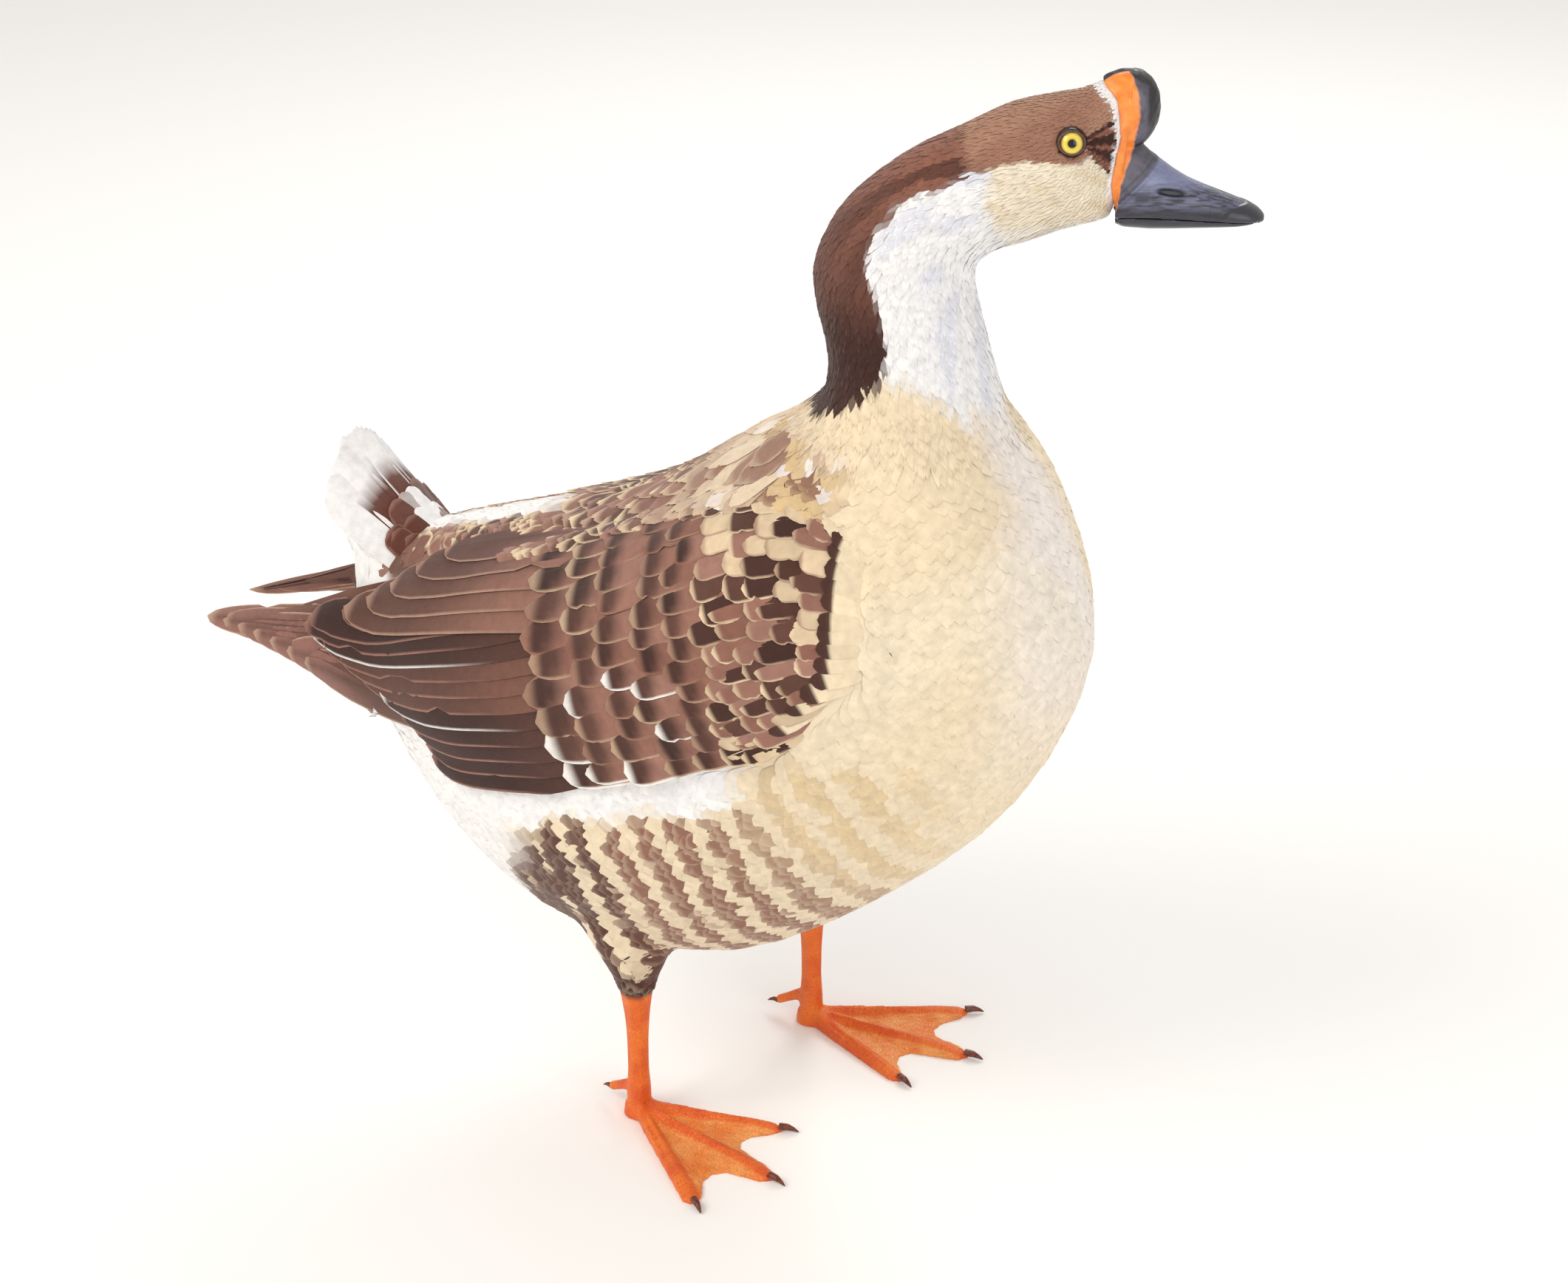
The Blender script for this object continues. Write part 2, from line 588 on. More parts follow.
def down_material():
    """Down and skin under the feathers: matt, in the coat's own colours, a little darker."""
    material, tree = new_material("body_down", "#e6d8c0")
    tint = put(tree, "ShaderNodeAttribute", attribute_name="tint")
    place = put(tree, "ShaderNodeTexCoord").outputs["Object"]
    tufts = {"Vector": place, "Scale": 900.0, "Detail": 3.0}  # about 1 mm across
    fluff = put(tree, "ShaderNodeTexNoise", tufts)
    darker = put(tree, "ShaderNodeHueSaturation", {"Saturation": 1.03, "Value": 0.96, "Color": tint})
    bump = put(tree, "ShaderNodeBump", {"Strength": 0.4, "Distance": 0.0006, "Height": fluff})
    surface = {"Base Color": darker, "Roughness": 0.9, "Sheen Weight": 0.25, "Normal": bump}
    shader = put(tree, "ShaderNodeBsdfPrincipled", surface)
    put(tree, "ShaderNodeOutputMaterial", {"Surface": shader})
    return material


skin.data.materials.append(down_material())
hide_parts(*FLESH_NODES, *WING_FLESH)
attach(skin, "root")

# ---- Contour feathers: how they grow --------------------------------------------------------
# Small vanes stand over the skin in their thousands, each rooted in it and lying back over the
# next like tiles. A tree of nodes sets them on their roots and lays them to the skin.
BAKE_PATCH = 0.003  # size of one feather on the skin's flat map
MOST_ROOTS = 900000.0  # for each square metre, before the spacing thins them
FACTOR, FIRST, SECOND = 0, 6, 7  # the inputs of a node that mixes colours


def vane_shape(name, rows, columns, outline, fray, seed, curl=0.0):
    """One small feather from its root at the origin to 1 along Y, from -1 to 1 across."""
    dice = np.random.default_rng(seed)
    mesh = bmesh.new()
    grow = mesh.verts.layers.float_vector.new("grow")
    lines = []
    for i in range(rows + 1):
        along = 1 - (1 - i / rows) ** 1.5
        line = []
        for k in range(columns + 1):
            across = 2 * k / columns - 1
            width = np.interp(along, *outline)
            length = along
            if i == rows:
                length -= 0.07 * abs(across) ** 2.2 + fray * dice.uniform(0.0, 1.0) * (k % 2)
            elif i:
                length -= 0.10 * along * abs(across) ** 2
            if abs(across) == 1 and i:
                width *= 1 - fray * dice.uniform(0, 0.8)
            bow = curl * math.sin(along * 2.6)
            rise = along**0.75 - 0.22 * across**2 * (0.25 + 0.75 * along)
            vert = mesh.verts.new((across * width + bow, length, rise))
            vert[grow] = (across, along, rise)
            line.append(vert)
        lines.append(line)
    for low, high in zip(lines, lines[1:]):
        for k in range(columns):
            mesh.faces.new((low[k], low[k + 1], high[k + 1], high[k]))
    data = bpy.data.meshes.new(name)
    mesh.to_mesh(data)
    mesh.free()
    return bpy.data.objects.new(name, data)


def feather_kit(name, count, **shape):
    """A collection of a few slightly different vanes of one kind."""
    kit = bpy.data.collections.new(name)
    for k in range(count):
        kit.objects.link(vane_shape(f"{name}_{k}", seed=k, curl=0.10 * (k - (count - 1) / 2), **shape))
    return kit


# Outlines of small feathers: shares of the length, and of the full width there.
ROUND_OUTLINE = ((0, 0.28, 0.54, 0.75, 0.91, 1.0), (0.35, 0.80, 1.0, 0.93, 0.67, 0.28))
LOCK_OUTLINE = ((0, 0.35, 0.65, 0.88, 1.0), (0.5, 1.0, 0.95, 0.62, 0.20))
KITS = {
    "plush": feather_kit("plush", 4, rows=3, columns=2, outline=LOCK_OUTLINE, fray=0.1),
    "lock": feather_kit("lock", 5, rows=4, columns=3, outline=LOCK_OUTLINE, fray=0.16),
    "round": feather_kit("round", 6, rows=5, columns=6, outline=ROUND_OUTLINE, fray=0.06),
}


def socket(tree, name, kind, in_out="INPUT", **settings):
    """Adds a named input or output to a tree of nodes."""
    added = tree.interface.new_socket(name, in_out=in_out, socket_type=kind)
    for key, value in settings.items():
        setattr(added, key, value)
    return added


def scatter_tree():
    """Feather roots spread evenly over the skin where the named share allows."""
    tree = bpy.data.node_groups.new("feather_roots", "GeometryNodeTree")
    socket(tree, "Skin", "NodeSocketGeometry")
    socket(tree, "Spacing", "NodeSocketFloat", default_value=0.005)
    socket(tree, "Seed", "NodeSocketInt", default_value=1)
    socket(tree, "Roots", "NodeSocketGeometry", "OUTPUT")
    given = put(tree, "NodeGroupInput").outputs
    share = put(tree, "GeometryNodeInputNamedAttribute", {"Name": "share"}, data_type="FLOAT")
    spread = put(
        tree,
        "GeometryNodeDistributePointsOnFaces",
        {
            "Mesh": given["Skin"],
            "Distance Min": given["Spacing"],
            "Density Max": MOST_ROOTS,
            "Density Factor": share,
            "Seed": given["Seed"],
        },
        distribute_method="POISSON",
    )
    dots = put(tree, "GeometryNodePointsToVertices", {"Points": spread})
    put(tree, "NodeGroupOutput", {"Roots": dots})
    return tree


def plumage_tree():
    """Vanes set on their roots, laid over the skin, coloured, mapped and made real."""
    tree = bpy.data.node_groups.new("plumage", "GeometryNodeTree")
    socket(tree, "Roots", "NodeSocketGeometry")
    socket(tree, "Kit", "NodeSocketCollection")
    socket(tree, "Skin", "NodeSocketObject")
    socket(tree, "Finish", "NodeSocketMaterial")
    socket(tree, "Patch", "NodeSocketFloat", default_value=BAKE_PATCH)
    socket(tree, "Seed", "NodeSocketInt", default_value=1)
    socket(tree, "Feathers", "NodeSocketGeometry", "OUTPUT")
    given = put(tree, "NodeGroupInput").outputs
    named = {
        name: put(tree, "GeometryNodeInputNamedAttribute", {"Name": name}, data_type="FLOAT_VECTOR")
        for name in ("out", "lie", "size", "grow", "spot", "skin_out")
    }
    turn = put(
        tree,
        "FunctionNodeAxesToRotation",
        {"Primary Axis": named["out"], "Secondary Axis": named["lie"]},
        primary_axis="Z",
        secondary_axis="Y",
    )
    kit = {"Collection": given["Kit"], "Separate Children": True, "Reset Children": True}
    pick = put(tree, "FunctionNodeRandomValue", {4: 0, 5: 5, "Seed": given["Seed"]}, data_type="INT")
    stood = put(
        tree,
        "GeometryNodeInstanceOnPoints",
        {
            "Points": given["Roots"],
            "Instance": put(tree, "GeometryNodeCollectionInfo", kit),
            "Pick Instance": True,
            "Instance Index": pick,
            "Rotation": turn,
            "Scale": named["size"],
        },
    )
    real = put(tree, "GeometryNodeRealizeInstances", {"Geometry": stood})
    grow = put(tree, "ShaderNodeSeparateXYZ", {"Vector": named["grow"]}).outputs
    size = put(tree, "ShaderNodeSeparateXYZ", {"Vector": named["size"]}).outputs
    bearer = put(tree, "GeometryNodeObjectInfo", {"Object": given["Skin"]}, transform_space="ORIGINAL")
    under = bearer.outputs["Geometry"]
    near = put(tree, "GeometryNodeProximity", {"Geometry": under}, target_element="FACES")
    out = put(
        tree,
        "GeometryNodeSampleNearestSurface",
        {"Mesh": under, "Value": named["skin_out"]},
        data_type="FLOAT_VECTOR",
    )
    lift = put(tree, "ShaderNodeMath", {0: grow["Z"], 1: size["Z"]}, operation="MULTIPLY")
    raised = put(tree, "ShaderNodeVectorMath", {0: out, "Scale": lift}, operation="SCALE")
    place = put(tree, "ShaderNodeVectorMath", {0: near, 1: raised}, operation="ADD")
    laid = put(tree, "GeometryNodeSetPosition", {"Geometry": real, "Position": place})
    half = put(tree, "ShaderNodeMath", {0: grow["X"], 1: 0.5}, operation="MULTIPLY")
    flat = put(tree, "ShaderNodeCombineXYZ", {"X": half, "Y": grow["Y"]})
    patch = put(tree, "ShaderNodeVectorMath", {0: flat, "Scale": given["Patch"]}, operation="SCALE")
    spot = put(tree, "ShaderNodeVectorMath", {0: patch, 1: named["spot"]}, operation="ADD")
    mapped = put(
        tree,
        "GeometryNodeStoreNamedAttribute",
        {"Geometry": laid, "Name": "OFBake", "Value": spot},
        data_type="FLOAT2",
        domain="CORNER",
    )
    smooth = put(tree, "GeometryNodeSetShadeSmooth", {"Geometry": mapped})
    painted = put(tree, "GeometryNodeSetMaterial", {"Geometry": smooth, "Material": given["Finish"]})
    put(tree, "NodeGroupOutput", {"Feathers": painted})
    return tree


SCATTER = scatter_tree()
PLUMAGE = plumage_tree()


def set_inputs(modifier, **values):
    """Sets a node modifier's inputs by the identifiers of its sockets."""
    for item in modifier.node_group.interface.items_tree:
        if item.item_type == "SOCKET" and item.in_out == "INPUT" and item.name in values:
            modifier[item.identifier] = values[item.name]


def spread_roots(share, spacing, seed):
    """Root places, directions out of the skin and places on its map, spaced evenly."""
    layer = skin.data.attributes.get("share") or skin.data.attributes.new("share", "FLOAT", "POINT")
    layer.data.foreach_set("value", np.asarray(share, dtype=np.float32))
    modifier = skin.modifiers.new("Roots", "NODES")
    modifier.node_group = SCATTER
    set_inputs(modifier, Spacing=spacing, Seed=seed)
    dots = live(skin)
    skin.modifiers.remove(modifier)
    places = points_of(dots)
    fields = []
    for name in ("skin_out", "OFBake"):
        field = dots.attributes[name]
        wide = 3 if field.data_type == "FLOAT_VECTOR" else 2
        flat = np.empty(len(places) * wide, dtype=np.float32)
        field.data.foreach_get("vector", flat)
        fields.append(flat.reshape(-1, wide).astype(float))
    bpy.data.meshes.remove(dots)
    return places, unit(fields[0]), fields[1]


def grow_feathers(name, kit, roots, lie, size, colours, seed):
    """Feathers of one kind on their roots, as one plain mesh that rides on the bird."""
    places, out, spots = roots
    data = bpy.data.meshes.new(name)
    data.from_pydata(places.tolist(), [], [])
    store(data, "out", out)
    store(data, "lie", lie)
    store(data, "size", size)
    store(data, "spot", np.c_[spots, np.zeros(len(spots))])
    for key, colour in zip(("tint", "rim"), colours):
        store(data, key, np.c_[colour, np.ones(len(colour))], "FLOAT_COLOR", "color")
    obj = as_object(name, data)
    modifier = obj.modifiers.new("Plumage", "NODES")
    modifier.node_group = PLUMAGE
    set_inputs(modifier, Kit=KITS[kit], Skin=skin, Finish=FEATHER, Seed=seed)
    fixed(obj)
    for layer in ("out", "lie", "size", "spot"):
        obj.data.attributes.remove(obj.data.attributes[layer])
    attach(obj, "root")
    print(name, len(places), "feathers", sum(len(p.vertices) - 2 for p in obj.data.polygons), "triangles")
    return obj


def feather_material(name, preview, side_edge, tip_edge, relief=0.25, barb_scale=1.0, barb_tone=0.02):
    """Feathers: soft keratin vanes with fine barbs, matt with a slight sheen. The rim's colour
    runs between two shares of the half-width, and between two of the length."""
    material, tree = new_material(name, preview)
    tint = put(tree, "ShaderNodeAttribute", attribute_name="tint")
    rim = put(tree, "ShaderNodeAttribute", attribute_name="rim")
    grown = put(tree, "ShaderNodeAttribute", attribute_name="grow").outputs["Vector"]
    grow = put(tree, "ShaderNodeSeparateXYZ", {"Vector": grown}).outputs
    side = put(tree, "ShaderNodeMath", {0: grow["X"]}, operation="ABSOLUTE")
    at_side, at_tip, past_root = (
        put(
            tree,
            "ShaderNodeMapRange",
            {"Value": value, "From Min": start, "From Max": end},
            interpolation_type="SMOOTHSTEP",
        )
        for value, (start, end) in ((side, side_edge), (grow["Y"], tip_edge), (grow["Y"], (0.25, 0.6)))
    )
    side_here = put(tree, "ShaderNodeMath", {0: at_side, 1: past_root}, operation="MULTIPLY")
    edge = put(tree, "ShaderNodeMath", {0: at_tip, 1: side_here}, operation="MAXIMUM")
    mixed = put(tree, "ShaderNodeMix", {FACTOR: edge, FIRST: tint, SECOND: rim}, data_type="RGBA")
    place = put(tree, "ShaderNodeTexCoord").outputs["Object"]
    patches = {"Vector": place, "Scale": 160.0, "Detail": 2.0}  # about 6 mm across
    uneven = put(tree, "ShaderNodeTexNoise", patches)
    span = {"Value": uneven, "From Min": 0.3, "From Max": 0.7, "To Min": 0.90, "To Max": 1.06}
    shade = put(tree, "ShaderNodeMapRange", span)
    # Barbs run outwards and forwards from the shaft; drawn at 0.5 mm, coarser than real, to show.
    slant = put(tree, "ShaderNodeMath", {0: side, 1: -0.35, 2: grow["Y"]}, operation="MULTIPLY_ADD")
    comb = put(tree, "ShaderNodeMath", {0: slant, 1: 190.0 * barb_scale}, operation="MULTIPLY")
    barbs = put(tree, "ShaderNodeMath", {0: comb}, operation="SINE")
    lined = put(tree, "ShaderNodeMath", {0: barbs, 1: barb_tone, 2: shade}, operation="MULTIPLY_ADD")
    toned = put(tree, "ShaderNodeHueSaturation", {"Value": lined, "Color": mixed})
    shaft = put(tree, "ShaderNodeMapRange", {"Value": side, "From Max": 0.09, "To Min": 1.0, "To Max": 0.0})
    ridges = put(tree, "ShaderNodeMath", {0: shaft, 1: 1.6, 2: barbs}, operation="MULTIPLY_ADD")
    surface = {
        "Base Color": toned,
        "Roughness": 0.72,
        "Specular IOR Level": 0.25,
        "Sheen Weight": 0.18,
        "Sheen Roughness": 0.45,
        "Normal": put(tree, "ShaderNodeBump", {"Strength": relief, "Distance": 0.0004, "Height": ridges}),
    }
    shader = put(tree, "ShaderNodeBsdfPrincipled", surface)
    put(tree, "ShaderNodeOutputMaterial", {"Surface": shader})
    return material


FEATHER = feather_material("contour_feather_keratin", "#f1ddbd", (0.62, 0.92), (0.76, 0.93))

# ---- Folded wings: where they lie --------------------------------------------------------------
# Each folded wing is a thin shell on the trunk, from its bend at the shoulder to its tip over
# the tail. Places on it go by the share of its length and the share from its top edge down.
WING_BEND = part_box("wing_right_shoulder")[1][0]
WING_LENGTH = WING_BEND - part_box("wing_right_primaries")[0][0]
# For shares of the length: top and bottom edge in degrees from straight up, height of their
# axis, and how far the quills' bed lies inside the outline, in millimetres.
WING_ARC = np.array(
    [
        (0.000, 31, 43, 0.260, 2.5),
        (0.031, 25, 50, 0.260, 3.5),
        (0.115, 21, 60, 0.260, 4.0),
        (0.253, 19, 71, 0.260, 4.5),
        (0.392, 19, 81, 0.260, 4.5),
        (0.531, 23, 88, 0.260, 4.0),
        (0.653, 28, 93, 0.264, 3.5),
        (0.774, 38, 98, 0.278, 2.5),
        (0.896, 52, 100, 0.274, 1.6),
        (1.000, 62, 100, 0.266, 0.8),
    ]
)
WING_FIELDS = ("shoulder", "secondaries", "primaries")
wing_tree = BVHTree.FromBMesh(merged([f"wing_right_{field}" for field in WING_FIELDS]))
WING_ALONG = np.linspace(0, 1, 97)
WING_DOWN = np.linspace(0, 1, 25)


def on_arc(along, *columns):
    """Columns of the wing's table at shares of its length."""
    return [np.interp(along, WING_ARC[:, 0], WING_ARC[:, k]) for k in columns]


def wing_radii():
    """The wing's outer surface: distance from its axis, along its length and down its arc."""
    radii = np.full((len(WING_ALONG), len(WING_DOWN)), np.nan)
    for i, along in enumerate(WING_ALONG):
        top, bottom, axis = on_arc(along, 1, 2, 3)
        for k, down in enumerate(WING_DOWN):
            turn = math.radians(top + (bottom - top) * down)
            out = Vector((0, -math.sin(turn), math.cos(turn)))
            middle = Vector((WING_BEND - WING_LENGTH * along, 0, axis))
            touch = wing_tree.ray_cast(middle + out * 0.4, -out, 0.4)[0]
            if touch:
                radii[i, k] = (touch - middle).length
    for lines in (radii, radii.T):
        for line in lines:
            known = ~np.isnan(line)
            if known.any():
                line[~known] = np.interp(np.flatnonzero(~known), np.flatnonzero(known), line[known])
    kernel = np.array([1, 2, 3, 2, 1]) / 9
    for lines in (radii, radii.T):
        for line in lines:
            line[:] = np.convolve(np.pad(line, 2, "edge"), kernel, "valid")
    return radii


WING_RADII = wing_radii()


def wing_place(along, down, height=0.0):
    """Points on the right wing, height metres over its quills' bed."""
    along, down = np.broadcast_arrays(np.asarray(along, float), np.asarray(down, float))
    top, bottom, axis = on_arc(along, 1, 2, 3)
    turn = np.radians(top + (bottom - top) * down)
    i = np.clip(along, 0, 1) * (len(WING_ALONG) - 1.001)
    k = np.clip(down, 0, 1) * (len(WING_DOWN) - 1.001)
    i0, k0 = i.astype(int), k.astype(int)
    u, v = i - i0, k - k0
    radius = (
        WING_RADII[i0, k0] * (1 - u) * (1 - v)
        + WING_RADII[i0 + 1, k0] * u * (1 - v)
        + WING_RADII[i0, k0 + 1] * (1 - u) * v
        + WING_RADII[i0 + 1, k0 + 1] * u * v
    )
    radius = radius - on_arc(along, 4)[0] / 1000 + height
    x = WING_BEND - WING_LENGTH * along
    return np.stack([x, -np.sin(turn) * radius, axis + np.cos(turn) * radius], axis=-1)


def place_on_wing(points):
    """For points: shares along and down the wing on their side, and height over its bed."""
    along = (WING_BEND - points[:, 0]) / WING_LENGTH
    top, bottom, axis = on_arc(along, 1, 2, 3)
    side, up = np.abs(points[:, 1]), points[:, 2] - axis
    down = (np.degrees(np.arctan2(side, up)) - top) / (bottom - top)
    bed = wing_place(along, down)
    return along, down, np.hypot(side, up) - np.hypot(bed[:, 1], bed[:, 2] - axis)


CORNER_BOW = 0.075  # share of the wing's length by which its low front corner is set back


def low_corner(down):
    """0 down most of the wing's front, 1 at its low corner, which is rounded off."""
    return ramp(down, 0.60, 1.05)


# Under the wing's quills and coverts the skin lies deeper.
skin_along, skin_down, skin_height = place_on_wing(skin_points)
covered = ramp(skin_along - CORNER_BOW * low_corner(skin_down), 0.018, 0.044) * (skin_along < 1.05)
covered *= ramp(skin_down, 0.05, 0.12) * (1 - ramp(skin_down, 0.99, 1.05))
sink = covered * np.maximum(skin_height + 0.0025, 0) * (skin_height < 0.02)
skin_points -= skin_normals * sink[:, None]
move_points(skin.data, skin_points)

# ---- Coat of the body --------------------------------------------------------------------------
# Rounded vanes cover breast, belly, back and rump, larger towards the back, narrow locks the
# neck, and plush the head. They grow everywhere but under the wings and the bill.
def keep(roots, wanted):
    """The roots where wanted is true."""
    return tuple(part[wanted] for part in roots)


EYE_ROOM = 0.0082  # nearest feather root to the middle of an eye
WING_FRONT = 0.014  # share of the wing's length at which the breast's last roots stand


def away_from_bill(points):
    """1 where feathers may grow, 0 on the bill's base and the eyes."""
    free = np.ones(len(points))
    for eye in eye_seats:
        free *= np.linalg.norm(points - eye, axis=1) > EYE_ROOM
    face = head_frame(points)
    free *= (before_line(face, FEATHER_EDGE) > 0.0002) | (face[:, 0] < 0)
    return free * ramp(gap_to_under_bill(points), 0.0006, 0.0012)


def under_wing(points, over_wing=0.0):
    """True for roots that a folded wing covers, but for a strip along its upper edge."""
    along, down, height = place_on_wing(points)
    edge = 0.06 + over_wing - (0.12 + over_wing) * ramp(along, 0.42, 0.58)
    inside = (along > WING_FRONT + CORNER_BOW * low_corner(down)) & (along < 1.0)
    return inside & (down > edge) & (down < 1.02) & (height > -0.035)


def bare_places(points, station):
    """True where shank or tail leave the body: no feather roots there."""
    return (points[:, 2] < TROUSERS_END + 0.002) | (station > SPINE_STEP * (len(spine) - 1) - 0.002)


SHOWN = 0.75  # where along a feather the part lies that the next ones leave open
UNEQUAL = 0.12  # share by which sizes of like feathers differ
STERN_AHEAD = np.array([0.45, 0, -0.89])  # round the stern the coat points to the cocked tail's tip


def coat(name, kit, share, spacing, sizes, seed, stray=0.10, over_wing=0.0):
    """One part of the coat. Sizes are half-width, length and height over the skin, each a
    number or a rule that gives one for each root."""
    roots = spread_roots(share, spacing, seed)
    station, _, ahead = along_the_bird(roots[0])
    free = ~under_wing(roots[0], over_wing) & ~bare_places(roots[0], station)
    free &= away_from_bill(roots[0]) > 0.5
    roots, station, ahead = keep(roots, free), station[free], ahead[free]
    places, out, _ = roots
    dice = np.random.default_rng(seed + 100)
    to_tail = ramp(-places[:, 0], 0.100, 0.170)[:, None]
    lie = laid_back(out, ahead * (1 - to_tail) + STERN_AHEAD * to_tail)
    hanging = ramp(-places[:, 2], -0.155, -0.115)[:, None] * (np.abs(out[:, 2:]) < 0.9)
    lie = unit(lie * (1 - hanging) + np.cross(np.cross(out, [0, 0, -1.0]), out) * hanging)
    sideways = np.cross(out, lie)
    lie = unit(lie + sideways * dice.normal(0, stray, len(places))[:, None])
    size = []
    for part in sizes:
        value = part(places, station) if callable(part) else np.full(len(places), part)
        size.append(value * dice.uniform(1 - UNEQUAL, 1 + UNEQUAL, len(places)))
    colours = markings(places + lie * size[1][:, None] * SHOWN)
    colours = np.clip(colours * dice.normal(1.0, 0.022, len(places))[:, None], 0, 1)
    return grow_feathers(name, kit, roots, lie, np.stack(size, axis=1), colours, seed)


around = np.abs(skin_angle)
on_head = ramp(skin_station, NECK_TOP + 0.020, NECK_TOP + 0.026)
on_neck = ramp(skin_station, NECK_FOOT + 0.010, NECK_FOOT + 0.018) * (1 - on_head)
on_body = 1 - ramp(skin_station, NECK_FOOT + 0.010, NECK_FOOT + 0.018)
on_front = on_body * ramp(skin_points[:, 0], 0.100, 0.108)
on_back = on_body * (1 - ramp(around, 62, 66)) * (skin_points[:, 0] < 0.104)
on_belly = on_body * (skin_points[:, 0] < 0.104) * (around > 62)


def towards_head(near, far):
    """A size that runs evenly from near, at the neck's foot, to far, at the head."""
    return lambda places, station: near + (far - near) * ramp(station, NECK_FOOT, HEAD - 0.015)


def plush_length(places, station):
    """The head's feathers grow longer from the bill back."""
    return 0.0030 + 0.0045 * ramp(-head_frame(places)[:, 0], -0.022, 0.030)


def smaller_on_legs(body, leg):
    """A size that shrinks from the belly down the feathered legs."""
    return lambda places, station: leg + (body - leg) * ramp(places[:, 2], 0.106, 0.135)


on_scapular = on_body * (skin_along > 0.15) * (skin_along < 0.46)
on_scapular *= (skin_down > -0.26) * (skin_down < 0.13) * (skin_points[:, 2] > 0.36)
on_back *= 1 - on_scapular
lock = (towards_head(0.0034, 0.0019), towards_head(0.023, 0.0105), towards_head(0.0014, 0.0009))
belly = (smaller_on_legs(0.0088, 0.0050), smaller_on_legs(0.026, 0.010), 0.0015)
# Name, kit, where, least distance between roots, sizes, seed, slot, and how far feathers stray.
coat("head_plush", "plush", on_head, 0.0015, (0.0009, plush_length, 0.0009), 11)
coat("neck_locks", "lock", on_neck, 0.0029, lock, 12)
coat("breast_feathers", "round", on_front, 0.0058, (0.0086, 0.026, 0.0014), 13, 0.06)
coat("belly_feathers", "round", on_belly, 0.0061, belly, 14, 0.07)
coat("back_feathers", "round", on_back, 0.0068, (0.0088, 0.030, 0.0024), 15, 0.07)
coat("scapulars", "round", on_scapular, 0.0105, (0.0125, 0.044, 0.0038), 16, 0.07, 0.07)


# ---- Folded wings: quills and coverts ---------------------------------------------------------
# Long stiff quills lie lengthwise under rows of shorter coverts. Each feather is a thin vane
# with a raised shaft, laid on the wing's bed, its lower edge over the feather below it.
VANE_ACROSS = np.array([-1, -0.72, -0.38, -0.07, 0, 0.07, 0.38, 0.72, 1])
# Outlines: shares of a feather's length, and of its full width there.
QUILL_OUTLINE = ((0, 0.12, 0.3, 0.75, 0.88, 0.95, 0.985, 1.0), (0.3, 0.75, 1.0, 1.0, 0.86, 0.62, 0.36, 0.05))
COVERT_OUTLINE = ((0, 0.2, 0.5, 0.78, 0.88, 0.95, 0.985, 1.0), (0.4, 0.8, 1.0, 0.95, 0.83, 0.60, 0.36, 0.08))
BED = {}  # feathers laid so far, by piece
METRE = 1 / WING_LENGTH
luck = np.random.default_rng(5)


def lay_vane(
    piece,
    surface,
    start,
    end,
    half_width,
    tint,
    rim,
    rows=10,
    height=(0.0, 0.002),
    tilt=0.0006,
    camber=0.0004,
    bend=0.0,
    outline=QUILL_OUTLINE,
    shaft=0.0004,
    splits=0.5,
):
    """Lays one feather on a surface between two places and adds it to a piece's list. Height is
    that of root and tip over the surface. Tilt raises one edge, camber rounds the vane, shaft
    lifts its middle, bend bows it sideways, and splits is how many notches it has on average."""
    t = 1 - (1 - np.linspace(0, 1, rows + 1)) ** 1.35  # rows stand closer towards the tip
    path = np.array(start)[None] + (np.array(end) - np.array(start))[None] * t[:, None]
    path[:, 1] += bend * np.sin(math.pi * t)
    a, b = path.T
    small = 1e-3
    here = surface(a, b)
    by_a = (surface(a + small, b) - here) / small
    by_b = (surface(a, b + small) - here) / small
    ahead = np.gradient(here, axis=0)
    out = unit(np.cross(by_a, by_b))
    across_way = unit(np.cross(out, ahead))
    across_way *= np.sign((across_way * by_b).sum(1, keepdims=True))
    grid = np.stack([by_a, by_b], axis=2)
    steps = np.stack([np.linalg.lstsq(m, v, rcond=None)[0] for m, v in zip(grid, across_way)])
    across = np.tile(VANE_ACROSS, (rows + 1, 1))
    grow = np.stack([across, np.tile(t[:, None], (1, len(VANE_ACROSS))), 0 * across], axis=-1)
    for _ in range(luck.poisson(splits)):  # notches where the barbs have come apart
        i, edge = luck.integers(rows // 3, rows - 1), luck.choice([0, len(VANE_ACROSS) - 1])
        across[i, edge] *= luck.uniform(0.72, 0.9)
    offset = across * half_width * np.interp(t, *outline)[:, None]
    lift = (height[0] + (height[1] - height[0]) * t**0.7)[:, None] + tilt * across - camber * across**2
    lift += shaft * np.exp(-((across / 0.06) ** 2)) * (1 - t[:, None]) ** 0.5
    lift += 0.00025 * np.sin(t * 9 + luck.uniform(0, 6))[:, None] * across  # a slight twist
    points = surface(a[:, None] + steps[:, :1] * offset, b[:, None] + steps[:, 1:] * offset, lift)
    along = grow[..., 1]
    tone = luck.normal(1, 0.05)
    colours = [
        np.clip((part(along, across) if callable(part) else np.tile(part, (*along.shape, 1))) * tone, 0, 1)
        for part in (tint, rim)
    ]
    BED.setdefault(piece, []).append((points, grow, *colours))


